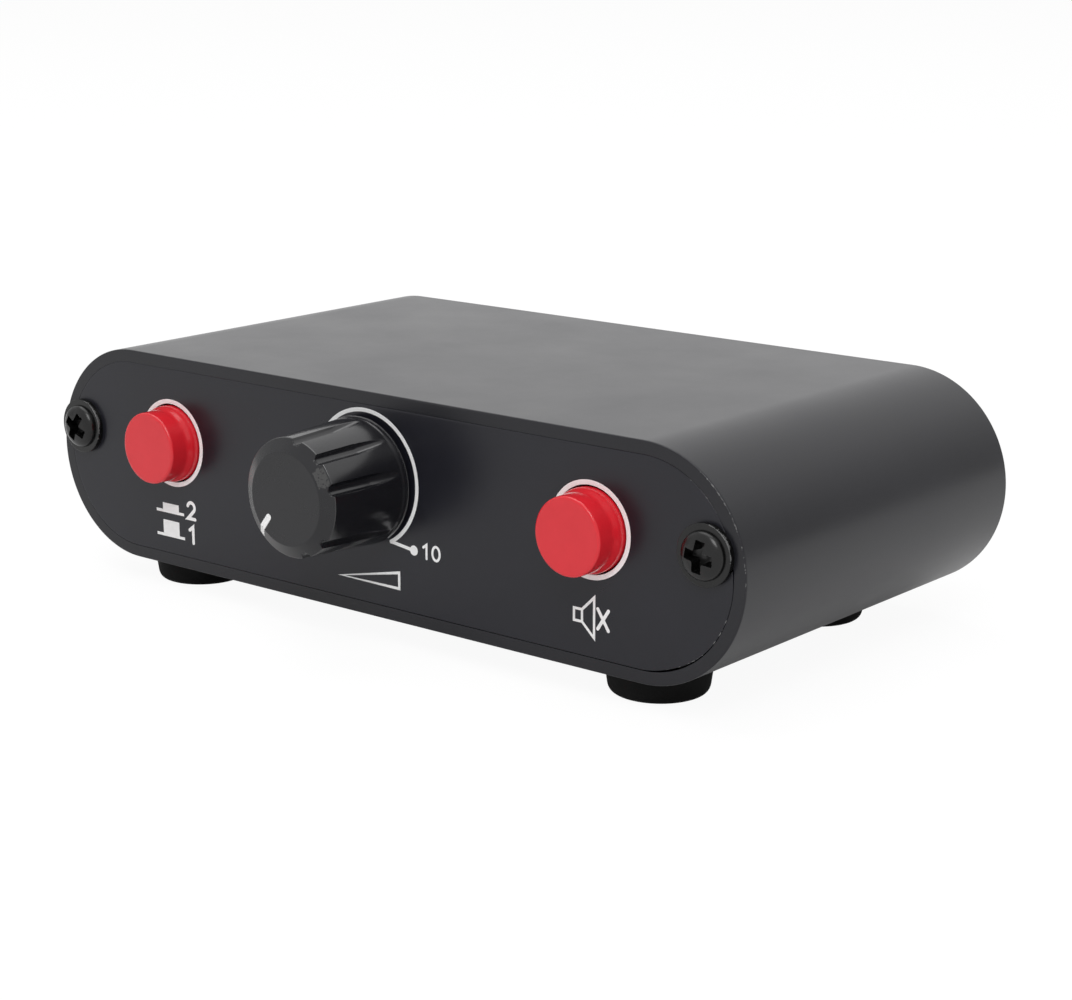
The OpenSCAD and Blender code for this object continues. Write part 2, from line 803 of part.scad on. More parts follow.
// Button cap: a round front on a wider flange, with a square socket for the stem
module button_cap(x)
    color(cap_red)
        difference() {
            translate([x, front_y, button_z])
                rotate([90, 0, 0])
                    rotate_extrude() {
                        translate([0, front_y - cap_back_y])
                            square([cap_flange_r, cap_back_y - front_y + cap_flange_h]);
                        square([cap_r, cap_proud - cap_round]);
                        square([cap_r - cap_round, cap_proud]);
                        translate([cap_r - cap_round, cap_proud - cap_round])
                            circle(r = cap_round);
                    }
            block(x, stem_w + 2 * push_gap, stem_tip_y - push_gap, cap_back_y + cap_front_t - stem_tip_y,
                button_z - stem_w / 2 - push_gap, button_z + stem_w / 2 + push_gap);
        }

module source_switch_frame() switch_frame(-button_x);
module source_switch_cover() switch_cover(-button_x);
module source_switch_terminals() switch_terminals(-button_x);
module source_switch_plunger() switch_plunger(-button_x);
module source_switch_contacts() switch_contacts(-button_x);
module source_switch_spring() switch_spring(-button_x);
module source_switch_latch() switch_latch(-button_x);
module source_button_cap() button_cap(-button_x);
module mute_switch_frame() switch_frame(button_x);
module mute_switch_cover() switch_cover(button_x);
module mute_switch_terminals() switch_terminals(button_x);
module mute_switch_plunger() switch_plunger(button_x);
module mute_switch_contacts() switch_contacts(button_x);
module mute_switch_spring() switch_spring(button_x);
module mute_switch_latch() switch_latch(button_x);
module mute_button_cap() button_cap(button_x);

// A shape of revolution on a socket's axis, with heights counted back from the panel's inner face
module on_jack(x)
    translate([x, rear_in_y, jack_z])
        rotate([-90, 0, 0])
            children();

// Wire that runs forward from a socket at a height, then down through the board
module jack_tail(x, z, y, r, bend_y) {
    rod(x, z, bend_y - r, y - bend_y + r, r);
    post(x, bend_y, pin_z, z, pin_r);
}

module jack_body(x0)
    color(black_plastic)
        difference() {
            block(x0, jack_body_w, rear_in_y - jack_body_d, jack_body_d, board_top_z, jack_z + jack_body_rise);
            for (x = jack_xs(x0)) {
                rod(x, jack_z, rear_in_y - insert_h, 2 * insert_h, jack_collar_r + push_gap);
                rod(x, jack_z, rear_in_y - 2 * jack_body_d, 2 * jack_body_d, tail_r + hole_gap);
                rod(x, jack_z - sleeve_mid_r, rear_in_y - 2 * jack_body_d, 2 * jack_body_d, pin_r + hole_gap);
            }
        }

module in_1_jack_body() jack_body(in_1_x);
module in_2_jack_body() jack_body(in_2_x);
module out_jack_body() jack_body(out_x);

module jack_sleeve(x) {
    on_jack(x)
        rotate_extrude() {
            translate([sleeve_in_r, groove_floor])
                square([sleeve_root_r - sleeve_in_r, sleeve_len - groove_floor]);
            translate([sleeve_in_r, collar_top])
                square([sleeve_wall, sleeve_len - collar_top]);
        }
    jack_tail(x, jack_z - sleeve_mid_r, rear_in_y + groove_floor + sleeve_wall, pin_r, tail_end_y);
}

module jack_sleeves(x0)
    color(nickel)
        for (x = jack_xs(x0))
            jack_sleeve(x);

module in_1_jack_sleeves() jack_sleeves(in_1_x);
module in_2_jack_sleeves() jack_sleeves(in_2_x);
module out_jack_sleeves() jack_sleeves(out_x);

// Coloured insulator: a collar in the panel and a core in the sleeve, joined behind the sleeve
module jack_insert(x)
    difference() {
        on_jack(x)
            rotate_extrude() {
                translate([insert_bore_r, -insert_h])
                    square([jack_collar_r - insert_bore_r, insert_web_t]);
                translate([insert_bore_r, -insert_h])
                    square([sleeve_in_r - push_gap - insert_bore_r, insert_h + insert_top]);
                translate([sleeve_root_r + push_gap, -insert_h])
                    square([jack_collar_r - sleeve_root_r - push_gap, insert_h + collar_top]);
            }
        rod(x, jack_z - sleeve_mid_r, rear_in_y - jack_body_d, jack_body_d, pin_r + hole_gap);
    }

module left_jack_inserts()
    color(channel_white)
        for (p = pair_xs)
            jack_insert(p + jack_pitch / 2);

module right_jack_inserts()
    color(cap_red)
        for (p = pair_xs)
            jack_insert(p - jack_pitch / 2);

module jack_centre_contact(x) {
    on_jack(x)
        difference() {
            translate([0, 0, -insert_h])
                cylinder(r = socket_bore_r + contact_wall, h = insert_h + contact_top);
            translate([0, 0, contact_floor - insert_h])
                cylinder(r = socket_bore_r, h = insert_h + sleeve_len);
        }
    jack_tail(x, jack_z, rear_in_y + contact_floor / 2 - insert_h, tail_r, tail_end_y - tail_pitch);
}

module jack_centre_contacts()
    color(brass)
        for (p = pair_xs, x = jack_xs(p))
            jack_centre_contact(x);

case_shell();
front_panel();
rear_panel();
front_panel_screws();
rear_panel_screws();
foot_front_left();
foot_front_right();
foot_rear_left();
foot_rear_right();
circuit_board();
pot_housing();
pot_bushing();
pot_washer();
pot_nut();
pot_front_element();
pot_rear_element();
pot_terminals();
pot_shaft();
pot_wipers();
volume_knob();
source_switch_frame();
source_switch_cover();
source_switch_terminals();
source_switch_plunger();
source_switch_contacts();
source_switch_spring();
source_switch_latch();
source_button_cap();
mute_switch_frame();
mute_switch_cover();
mute_switch_terminals();
mute_switch_plunger();
mute_switch_contacts();
mute_switch_spring();
mute_switch_latch();
mute_button_cap();
in_1_jack_body();
in_2_jack_body();
out_jack_body();
in_1_jack_sleeves();
in_2_jack_sleeves();
out_jack_sleeves();
left_jack_inserts();
right_jack_inserts();
jack_centre_contacts();
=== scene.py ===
import json
import math

import bmesh
import bpy
import numpy as np
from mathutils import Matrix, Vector, geometry


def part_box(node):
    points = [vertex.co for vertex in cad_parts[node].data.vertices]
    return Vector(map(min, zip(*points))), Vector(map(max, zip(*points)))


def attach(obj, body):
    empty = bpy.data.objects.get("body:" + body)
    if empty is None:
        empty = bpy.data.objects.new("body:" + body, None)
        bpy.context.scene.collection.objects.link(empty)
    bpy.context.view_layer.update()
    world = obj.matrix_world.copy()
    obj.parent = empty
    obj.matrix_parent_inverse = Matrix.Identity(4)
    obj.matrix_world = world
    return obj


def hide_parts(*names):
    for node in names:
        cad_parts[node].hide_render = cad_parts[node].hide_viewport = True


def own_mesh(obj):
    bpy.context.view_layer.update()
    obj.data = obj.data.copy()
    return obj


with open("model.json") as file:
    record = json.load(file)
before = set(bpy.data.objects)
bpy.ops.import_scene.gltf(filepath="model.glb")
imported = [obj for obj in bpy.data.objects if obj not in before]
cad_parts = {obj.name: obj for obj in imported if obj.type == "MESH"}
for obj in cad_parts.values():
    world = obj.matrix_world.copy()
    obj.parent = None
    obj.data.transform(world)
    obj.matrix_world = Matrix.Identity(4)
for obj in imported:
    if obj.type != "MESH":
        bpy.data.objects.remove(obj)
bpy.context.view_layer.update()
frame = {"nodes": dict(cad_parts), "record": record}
nodes = frame["nodes"]
scene = bpy.context.scene
mm = 0.001
weldWithin = 2e-7  # in metres; points nearer than this become one
roundSteps = 96  # points round a turned form or a hole
endSteps = 73  # points round each half-round side of the case


def boxOf(node):
    low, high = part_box(node)
    return np.array(low) / mm, np.array(high) / mm


shellLow, shellHigh = boxOf("case_shell")
frontY, rearY = shellLow[1], shellHigh[1]
midZ = (shellLow[2] + shellHigh[2]) / 2
caseWidth = shellHigh[0] - shellLow[0]
caseHeight = shellHigh[2] - shellLow[2]
straight = (caseWidth - caseHeight) / 2
print("frame loaded:", len(nodes), "nodes")

# camera, fitted to the case's outline and the marks on its panel; its place counts from the front's middle
view = dict(place=(198.39, -207.28, 72.39), tilt=14.0974, turn=39.6253, lens=81.68, sensor=36, nearest=0.01)
camera = bpy.data.objects.new("camera", bpy.data.cameras.new("camera"))
camera.data.lens = view["lens"]
camera.data.sensor_width = view["sensor"]
camera.data.sensor_fit = "HORIZONTAL"
camera.data.clip_start = view["nearest"]
camera.location = (np.array(view["place"]) + (0, frontY, midZ)) * mm
camera.rotation_euler = (math.radians(90 - view["tilt"]), 0, math.radians(view["turn"]))
scene.collection.objects.link(camera)
scene.camera = camera
print("camera set")


def quadGrid(points, closeU=False, closeV=False):
    # points[u, v] joined to their neighbours by quads; a closed direction joins its last row to its first
    rows, cols = points.shape[:2]
    index = np.arange(rows * cols).reshape(rows, cols)
    if closeU:
        index = np.concatenate([index, index[:1]], 0)
    if closeV:
        index = np.concatenate([index, index[:, :1]], 1)
    corners = [index[:-1, :-1], index[1:, :-1], index[1:, 1:], index[:-1, 1:]]
    return points.reshape(-1, 3), np.stack(corners, -1).reshape(-1, 4)


def softCorners(corners, steps=6):
    # outline through corner points (a, b, softness): each corner is cut back by its softness along
    # both sides, and a quadratic curve joins the two cuts
    corners = np.array(corners, float)
    spread = np.linspace(0, 1, steps + 1)[:, None]
    outline = [corners[:1, :2]]
    for before, here, after in zip(corners[:-2], corners[1:-1], corners[2:]):
        toBefore = (before - here)[:2] / np.linalg.norm((before - here)[:2])
        toAfter = (after - here)[:2] / np.linalg.norm((after - here)[:2])
        start, end = here[:2] + toBefore * here[2], here[:2] + toAfter * here[2]
        curve = (1 - spread) ** 2 * start + 2 * spread * (1 - spread) * here[:2] + spread ** 2 * end
        outline.append(curve if here[2] else here[None, :2])
    return np.concatenate(outline + [corners[-1:, :2]])


def atFront(x, z):
    # right, up and outward on the front panel, counted from a point of the panel given from its middle
    return lambda a, b, h: np.stack(np.broadcast_arrays(x + a, frontY - h, midZ + z + b), -1)


def atRear(x, z):
    return lambda a, b, h: np.stack(np.broadcast_arrays(x + a, rearY + h, midZ + z + b), -1)


def onTable(x, y):
    return lambda a, b, h: np.stack(np.broadcast_arrays(x + a, y + b, h), -1)


def revolve(profile, place, steps=roundSteps):
    # profile of radius and height, turned once round its axis
    turn = np.linspace(0, 2 * np.pi, steps, endpoint=False)[:, None]
    radius, height = profile[:, 0], profile[:, 1]
    return quadGrid(place(radius * np.cos(turn), radius * np.sin(turn), height), closeU=True)


outlineTurn = np.concatenate([np.linspace(-90, 90, endSteps), np.linspace(90, 270, endSteps)])[:, None]


def stadium(inset):
    # half-round ends joined by straight sides, at a distance inside the case's outline
    side = np.repeat([straight, -straight], endSteps)[:, None]
    radius = caseHeight / 2 - inset
    turn = np.radians(outlineTurn)
    return side + radius * np.cos(turn), radius * np.sin(turn)


def sweepRound(insets, heights, place, closed=False):
    # profile of inset and height carried once round the case's outline; insets and heights with a row for
    # each point of the outline let the profile change on its way
    return quadGrid(place(*stadium(insets), heights), closeU=True, closeV=closed)


def fillFlat(inset, holes, place, height):
    # flat face inside the outline less its round holes (x, z, radius), as a constrained triangulation
    turn = np.linspace(0, 2 * np.pi, roundSteps, endpoint=False)[:, None]
    rings = [np.concatenate(stadium(np.array([inset])), 1)]
    rings += [np.concatenate([x + r * np.cos(turn), z + r * np.sin(turn)], 1) for x, z, r in holes]
    edges, first = [], 0
    for ring in rings:
        index = np.arange(first, first + len(ring))
        edges += np.stack([index, np.roll(index, -1)], 1).tolist()
        first += len(ring)
    corners = [Vector(point) for point in np.concatenate(rings)]
    insideOnly, sameWithin = 1, 1e-5
    found = geometry.delaunay_2d_cdt(corners, edges, [], insideOnly, sameWithin)
    flat, faces = np.array(found[0]), np.array(found[2])
    owner = np.repeat(np.arange(len(rings)), [len(ring) for ring in rings])[faces]
    inHole = (owner[:, 0] > 0) & (owner == owner[:, :1]).all(1)
    return place(flat[:, 0], flat[:, 1], np.full(len(flat), height)), faces[~inHole]


def makePiece(name, parts, material, body, stands=(), crease=32, edgeMask=None):
    # joins the parts into one mesh, merges poles and seams and points its faces outwards
    points, faces, first = [], [], 0
    for partPoints, partFaces in parts:
        points.append(partPoints)
        faces += (partFaces + first).tolist()
        first += len(partPoints)
    mesh = bpy.data.meshes.new(name)
    mesh.from_pydata(np.concatenate(points) * mm, [], faces)
    work = bmesh.new()
    work.from_mesh(mesh)
    bmesh.ops.remove_doubles(work, verts=work.verts, dist=weldWithin)
    bmesh.ops.recalc_face_normals(work, faces=work.faces)
    work.to_mesh(mesh)
    work.free()
    mesh.shade_smooth()
    mesh.set_sharp_from_angle(angle=math.radians(crease))
    if edgeMask:
        spots = np.empty(len(mesh.vertices) * 3)
        mesh.vertices.foreach_get("co", spots)
        wornAndLit = edgeMask(spots.reshape(-1, 3) / mm).astype(np.float32)
        mesh.attributes.new("edge", "FLOAT", "POINT").data.foreach_set("value", wornAndLit)
    mesh.materials.append(material)
    piece = bpy.data.objects.new(name, mesh)
    scene.collection.objects.link(piece)
    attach(piece, body)
    if stands:
        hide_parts(*stands)
    print(name, len(mesh.polygons), "faces")
    return piece


def addNode(tree, kind, inputs=(), **settings):
    # one shader node; an input given as a socket is linked, and any other is set
    node = tree.nodes.new(kind)
    for key, value in settings.items():
        setattr(node, key, value)
    for key, value in dict(inputs).items():
        if isinstance(value, bpy.types.NodeSocket):
            tree.links.new(value, node.inputs[key])
        else:
            node.inputs[key].default_value = value
    return node


def mixColours(tree, factor, first, second):
    # the mix node has its colours at inputs 6 and 7 and at output 2
    return addNode(tree, "ShaderNodeMix", {0: factor, 6: first, 7: second}, data_type="RGBA").outputs[2]


def newGroup(name, given, made):
    tree = bpy.data.node_groups.new(name, "ShaderNodeTree")
    for label, kind, value in given:
        socket = tree.interface.new_socket(label, in_out="INPUT", socket_type="NodeSocket" + kind)
        socket.default_value = value
    for label, kind in made:
        tree.interface.new_socket(label, in_out="OUTPUT", socket_type="NodeSocket" + kind)
    return tree, addNode(tree, "NodeGroupInput").outputs, addNode(tree, "NodeGroupOutput").inputs


# noise behind the finishes: how detailed and rough it is, and how much of its range is used
noise = dict(grainDetail=3, grainRough=0.6, cloudDetail=5, cloudRough=0.62, cloudFrom=0.3, cloudTo=0.7,
    speckDetail=2, speckRough=0.7, speckSoft=0.08)


def makeGrainGroup():
    # fine even grain: noise of a given scale, drawn out along an axis by Stretch
    tree, given, made = newGroup("fineGrain",
        [("Scale", "Float", 4000), ("Detail", "Float", noise["grainDetail"]),
         ("Stretch", "Vector", (1, 1, 1))], [("Height", "Float")])
    spot = addNode(tree, "ShaderNodeTexCoord").outputs["Object"]
    drawn = addNode(tree, "ShaderNodeVectorMath", {0: spot, 1: given["Stretch"]}, operation="MULTIPLY")
    grain = addNode(tree, "ShaderNodeTexNoise", {"Vector": drawn.outputs[0], "Scale": given["Scale"],
        "Detail": given["Detail"], "Roughness": noise["grainRough"]})
    tree.links.new(grain.outputs["Fac"], made["Height"])
    return tree


def makeMottleGroup():
    # slow cloudy change between two colours and between two roughnesses
    tree, given, made = newGroup("mottle",
        [("Colour A", "Color", (0, 0, 0, 1)), ("Colour B", "Color", (1, 1, 1, 1)),
         ("Rough A", "Float", 0.3), ("Rough B", "Float", 0.5), ("Scale", "Float", 120)],
        [("Colour", "Color"), ("Roughness", "Float")])
    spot = addNode(tree, "ShaderNodeTexCoord").outputs["Object"]
    cloud = addNode(tree, "ShaderNodeTexNoise", {"Vector": spot, "Scale": given["Scale"],
        "Detail": noise["cloudDetail"], "Roughness": noise["cloudRough"]}).outputs["Fac"]
    spread = addNode(tree, "ShaderNodeMapRange",
        {"Value": cloud, "From Min": noise["cloudFrom"], "From Max": noise["cloudTo"]}).outputs[0]
    tree.links.new(mixColours(tree, spread, given["Colour A"], given["Colour B"]), made["Colour"])
    rough = addNode(tree, "ShaderNodeMapRange",
        {"Value": spread, "To Min": given["Rough A"], "To Max": given["Rough B"]}).outputs[0]
    tree.links.new(rough, made["Roughness"])
    return tree


def makeEdgeGroup():
    # small chips and painted glints on edges: specks of noise over a threshold that falls as the mesh's edge
    # value rises, the value holding both real wear and painted light catching the edge
    tree, given, made = newGroup("edgeChipsAndGlints",
        [("Scale", "Float", 900), ("Amount", "Float", 0.5)], [("Mask", "Float")])
    spot = addNode(tree, "ShaderNodeTexCoord").outputs["Object"]
    edge = addNode(tree, "ShaderNodeAttribute", attribute_name="edge").outputs["Fac"]
    specks = addNode(tree, "ShaderNodeTexNoise", {"Vector": spot, "Scale": given["Scale"],
        "Detail": noise["speckDetail"], "Roughness": noise["speckRough"]}).outputs["Fac"]
    part = addNode(tree, "ShaderNodeMath", {0: given["Amount"], 1: edge}, operation="MULTIPLY").outputs[0]
    low = addNode(tree, "ShaderNodeMath", {0: 1.0, 1: part}, operation="SUBTRACT").outputs[0]
    high = addNode(tree, "ShaderNodeMath", {0: low, 1: noise["speckSoft"]}, operation="ADD").outputs[0]
    chipsAndGlints = addNode(tree, "ShaderNodeMapRange",
        {"Value": specks, "From Min": low, "From Max": high}).outputs[0]
    tree.links.new(chipsAndGlints, made["Mask"])
    return tree


grainGroup, mottleGroup, edgeGroup = makeGrainGroup(), makeMottleGroup(), makeEdgeGroup()
plainLook = dict(stretch=(1, 1, 1), metal=0, ior=1.5, coat=0, coatRough=0.1)


def makeFinish(name, look):
    # one finish: cloudy colour and roughness, fine grain as bump, and lighter specks on edges where it has
    # them, real chips together with painted glints
    look = {**plainLook, **look}
    material = bpy.data.materials.new(name)
    material.use_nodes = True
    tree = material.node_tree
    shader = tree.nodes["Principled BSDF"]
    cloud = addNode(tree, "ShaderNodeGroup", node_tree=mottleGroup)
    cloud.inputs["Colour A"].default_value = (*look["colour"], 1)
    cloud.inputs["Colour B"].default_value = (*look["other"], 1)
    cloud.inputs["Rough A"].default_value, cloud.inputs["Rough B"].default_value = look["rough"]
    cloud.inputs["Scale"].default_value = look["cloud"]
    colour, rough = cloud.outputs["Colour"], cloud.outputs["Roughness"]
    if "chipsAndGlints" in look:
        chipsAndGlints = addNode(tree, "ShaderNodeGroup", node_tree=edgeGroup)
        chipsAndGlints.inputs["Scale"].default_value, chipsAndGlints.inputs["Amount"].default_value = look["chipsAndGlints"][:2]
        colour = mixColours(tree, chipsAndGlints.outputs["Mask"], colour, (*look["chipsAndGlints"][2], 1))
    tree.links.new(colour, shader.inputs["Base Color"])
    tree.links.new(rough, shader.inputs["Roughness"])
    grain = addNode(tree, "ShaderNodeGroup", node_tree=grainGroup)
    grain.inputs["Scale"].default_value = look["grain"][0]
    grain.inputs["Stretch"].default_value = look["stretch"]
    bump = addNode(tree, "ShaderNodeBump",
        {"Height": grain.outputs["Height"], "Strength": look["grain"][1], "Distance": look["grain"][2] * mm})
    tree.links.new(bump.outputs["Normal"], shader.inputs["Normal"])
    shader.inputs["Metallic"].default_value = look["metal"]
    shader.inputs["IOR"].default_value = look["ior"]
    shader.inputs["Coat Weight"].default_value = look["coat"]
    shader.inputs["Coat Roughness"].default_value = look["coatRough"]
    return material


def grey(value, warm=0.0):
    return (value * (1 + warm), value, value * (1 - warm))


# colour and other: the two colours of the cloud; rough: their roughness; cloud: cycles per metre;
# grain: cycles per metre, strength and depth in mm; chipsAndGlints: cycles per metre, share and colour of
# lighter specks on edges, real chips and, where the edge mask marks light, painted glints
looks = {
    "shellAnodised": dict(colour=(0.010, 0.010, 0.013), other=(0.013, 0.013, 0.017), rough=(0.29, 0.34),
        cloud=60, ior=1.435, grain=(5200, 0.2, 0.02)),
    # cut ends: lighter edge specks, real chips all round and painted glints along the right side's edge
    "cutEnds": dict(colour=(0.009, 0.009, 0.012), other=(0.011, 0.011, 0.015), rough=(0.28, 0.33),
        cloud=60, ior=1.4, grain=(5200, 0.2, 0.02), chipsAndGlints=(2600, 0.57, grey(0.13))),
    # panels: lighter edge specks, real chips all round and painted glints at the upper and lower right
    "panelAnodised": dict(colour=(0.009, 0.009, 0.0135), other=(0.011, 0.011, 0.0165), rough=(0.27, 0.33),
        cloud=90, ior=1.4, grain=(6500, 0.12, 0.015), chipsAndGlints=(1600, 0.58, grey(0.18))),
    # screws: their lighter edge specks are painted glints on the front screws
    "screwPlating": dict(colour=grey(0.002), other=grey(0.004), rough=(0.2, 0.26),
        cloud=700, ior=1.42, grain=(5000, 0.1, 0.02), chipsAndGlints=(1500, 0.7, grey(0.12))),
    "footRubber": dict(colour=grey(0.002), other=grey(0.0035), rough=(0.65, 0.8),
        cloud=300, ior=1.25, grain=(3800, 0.35, 0.03)),
    "knobGrip": dict(colour=(0.005, 0.005, 0.007), other=(0.007, 0.007, 0.009), rough=(0.18, 0.22),
        cloud=240, ior=1.66, grain=(5200, 0.12, 0.02)),
    # knob face: the lighter specks on its bevel are wear and a painted highlight together
    "knobFace": dict(colour=(0.005, 0.005, 0.007), other=(0.007, 0.007, 0.009), rough=(0.25, 0.31),
        cloud=240, ior=1.47, grain=(5200, 0.12, 0.02), chipsAndGlints=(3800, 0.64, grey(0.05))),
    "capRed": dict(colour=(0.72, 0.015, 0.026), other=(0.76, 0.019, 0.031), rough=(0.14, 0.19),
        cloud=240, ior=1.46, grain=(5200, 0.12, 0.02)),
    "whiteInk": dict(colour=grey(0.92), other=grey(0.97), rough=(0.5, 0.6),
        cloud=900, grain=(6000, 0.2, 0.01)),
    "sleeveNickel": dict(colour=grey(0.68, 0.03), other=grey(0.74, 0.03), rough=(0.14, 0.22),
        cloud=400, metal=1, grain=(2600, 0.06, 0.02), stretch=(1, 0.15, 1)),
    "dullNickel": dict(colour=grey(0.55, 0.04), other=grey(0.62, 0.04), rough=(0.3, 0.42),
        cloud=400, metal=1, grain=(3000, 0.1, 0.02)),
    "plainBrass": dict(colour=(0.72, 0.52, 0.2), other=(0.78, 0.58, 0.25), rough=(0.22, 0.34),
        cloud=500, metal=1, grain=(3000, 0.08, 0.02)),
    "socketWhite": dict(colour=(0.76, 0.75, 0.7), other=(0.8, 0.79, 0.75), rough=(0.3, 0.38),
        cloud=400, grain=(5000, 0.1, 0.02)),
    "socketRed": dict(colour=(0.5, 0.02, 0.025), other=(0.56, 0.025, 0.03), rough=(0.3, 0.38),
        cloud=400, grain=(5000, 0.1, 0.02)),
    "mouldedBlack": dict(colour=grey(0.014), other=grey(0.02), rough=(0.42, 0.52),
        cloud=300, grain=(4200, 0.3, 0.03)),
    "mouldedWhite": dict(colour=grey(0.74, 0.02), other=grey(0.8, 0.02), rough=(0.4, 0.5),
        cloud=300, grain=(4200, 0.2, 0.03)),
    "boardLacquer": dict(colour=(0.012, 0.1, 0.04), other=(0.02, 0.13, 0.05), rough=(0.25, 0.35),
        cloud=500, coat=0.4, grain=(1500, 0.2, 0.03)),
    "paperPhenolic": dict(colour=(0.24, 0.13, 0.05), other=(0.32, 0.18, 0.08), rough=(0.45, 0.6),
        cloud=900, grain=(3000, 0.3, 0.03)),
}
finish = {name: makeFinish(name, look) for name, look in looks.items()}
print("finishes made:", len(finish))

# case: one extruded wall, its rim left proud round both panels and its cut edges just broken;
# wornAndLit: spans of angle round the right side as middle, half width and share of lighter edge specks, real
# wear joined there by painted glints of light on the edge
case = dict(wall=2.2, rim=1.6, seat=2.0, cut=0.3, outerEdge=0.2, innerEdge=0.05, margin=0.05,
    wornAndLit=[(28, 25, 0.86)], wearAndGlintInsets=(0.01, 0.22))


def caseShell():
    # closed outline of the wall between its cut ends, as inset and depth from the front, carried
    # round the case
    depth = rearY - frontY
    half = [(0, case["cut"]), (case["rim"], case["cut"]), (case["rim"], case["seat"]),
        (case["wall"], case["seat"])]
    wall = np.array(half + [(inset, depth - back) for inset, back in half[::-1]])
    wall[:, 1] *= -1
    return sweepRound(*wall.T, atFront(0, 0), closed=True)


def cutEnd(place):
    # closed outline of the last bit of the wall, its corners broken
    outer = case["outerEdge"] + case["margin"]
    inner = case["rim"] - case["innerEdge"] - case["margin"]
    end = softCorners([(0, -case["cut"], 0), (0, 0, case["outerEdge"]), (outer, 0, 0), (inner, 0, 0),
        (case["rim"], 0, case["innerEdge"]), (case["rim"], -case["cut"], 0)], steps=5)
    return sweepRound(*end.T, place(0, 0), closed=True)


# wear and painted glints of both ends: the least, real wear all round, degrees over which a span of painted
# glints fades, and the depths that it lies between
wearAndGlints = dict(least=0.5, fade=12, shallow=0.005, deep=0.12)


def edgeWearAndGlints(low, high, spans):
    # how much lighter the ends' edges are between two insets: real wear at the least all round, more within
    # the spans, where painted glints stand for light catching the edge
    def mask(spots):
        ends = np.minimum(spots[:, 1] - frontY, rearY - spots[:, 1])
        across = np.maximum(np.abs(spots[:, 0]) - straight, 0)
        inset = caseHeight / 2 - np.hypot(across, spots[:, 2] - midZ)
        angle = np.degrees(np.arctan2(spots[:, 2] - midZ, spots[:, 0] - straight))
        wornAndLit = np.full(len(spots), wearAndGlints["least"])
        for middle, half, most in spans:
            within = np.clip(1 - (np.abs(angle - middle) - half) / wearAndGlints["fade"], 0, 1)
            wornAndLit = np.maximum(wornAndLit, wearAndGlints["least"] + (most - wearAndGlints["least"]) * within)
        onEnd = (ends > wearAndGlints["shallow"]) & (ends < wearAndGlints["deep"])
        return wornAndLit * (onEnd & (inset > low) & (inset < high))
    return mask


makePiece("caseShellSkin", [caseShell()], finish["shellAnodised"], "case", ["case_shell"])
makePiece("caseCutEnds", [cutEnd(atFront), cutEnd(atRear)], finish["cutEnds"], "case",
    edgeMask=edgeWearAndGlints(*case["wearAndGlintInsets"], case["wornAndLit"]))

# end panels: flat plates with broken edges and holes for what comes through them; dents: angle, width and
# depth; wornAndLit: as on the case, real wear all round with painted glints within its spans; broken: angle
# and share of the edge's size round the right side
panel = dict(inset=1.635, thick=2.0, edge=0.14, border=0.2, screwHole=1.45, bushingHole=3.6, capHole=5.15,
    collarHole=5.1, shift=(-0.01, 0.02), dents=[(-70, 18, 0.16), (8, 8, 0.16)],
    wornAndLit=[(65, 20, 0.72), (-48, 22, 0.84)], wearAndGlintOut=0.03, wearAndGlintIn=0.3,
    broken=[(-90, 0.3), (-72, 1), (60, 1), (90, 0.8)], brokenLeft=0.3, closer=0.02, screwShift=-0.5)
screwLow, screwHigh = boxOf("front_panel_screws")
screwX = screwHigh[0] - (screwHigh[2] - screwLow[2]) / 2
screwZ = (screwLow[2] + screwHigh[2]) / 2 - midZ
capLow, capHigh = boxOf("mute_button_cap")
capX = (capLow[0] + capHigh[0]) / 2
capZ = (capLow[2] + capHigh[2]) / 2 - midZ
knobLow, knobHigh = boxOf("volume_knob")
knobZ = (knobLow[2] + knobHigh[2]) / 2 - midZ
pairs = ("in_1", "in_2", "out")
pairXs = [sum(boxOf(pair + "_jack_body"))[0] / 2 for pair in pairs]
leftLow, leftHigh = boxOf("left_jack_inserts")
jackPitch = leftHigh[0] + leftLow[0]
jackZ = (leftLow[2] + leftHigh[2]) / 2 - midZ
jackXs = [x + side * jackPitch / 2 for x in pairXs for side in (1, -1)]


def panelPlate(holes, place, dent=0, share=1):
    # face, its border, its broken edge and its rim as bands round the outline and round each hole, then
    # both faces; round the outline the broken edge is cut to a share of its size and moved inwards by dent
    edge, border, thick = panel["edge"], panel["border"], panel["thick"]
    right, up = panel["shift"]
    band = softCorners([(edge + border, 0, 0), (0, 0, edge), (0, -thick, 0)], steps=4)
    cut = np.full(len(band), True)
    cut[[0, -1]] = False
    insets = panel["inset"] + np.where(cut, band[:, 0] * share + dent, band[:, 0])
    parts = [sweepRound(insets, np.where(cut, band[:, 1] * share, band[:, 1]), place(right, up))]
    parts += [revolve(band + (r, 0), place(x + right, z + up)) for x, z, r in holes]
    wide = [(x, z, r + edge + border) for x, z, r in holes]
    parts.append(fillFlat(panel["inset"] + edge + border, wide, place(right, up), 0))
    parts.append(fillFlat(panel["inset"], holes, place(right, up), -thick))
    return parts


frontScrewXs = [side * screwX + panel["screwShift"] for side in (-1, 1)]
rearScrewXs = [-screwX, screwX]
frontHoles = [(x, screwZ, panel["screwHole"]) for x in frontScrewXs] + [(0, knobZ, panel["bushingHole"])]
frontHoles += [(side * capX, capZ, panel["capHole"]) for side in (-1, 1)]
rearHoles = [(x, screwZ, panel["screwHole"]) for x in rearScrewXs]
rearHoles += [(x, jackZ, panel["collarHole"]) for x in jackXs]
share = np.interp(outlineTurn, *np.transpose(panel["broken"]))
share[endSteps:] = panel["brokenLeft"]
dent = sum(deep * np.exp(-((outlineTurn - middle) / wide) ** 2) for middle, wide, deep in panel["dents"])
dent -= panel["closer"] * (1 - share)
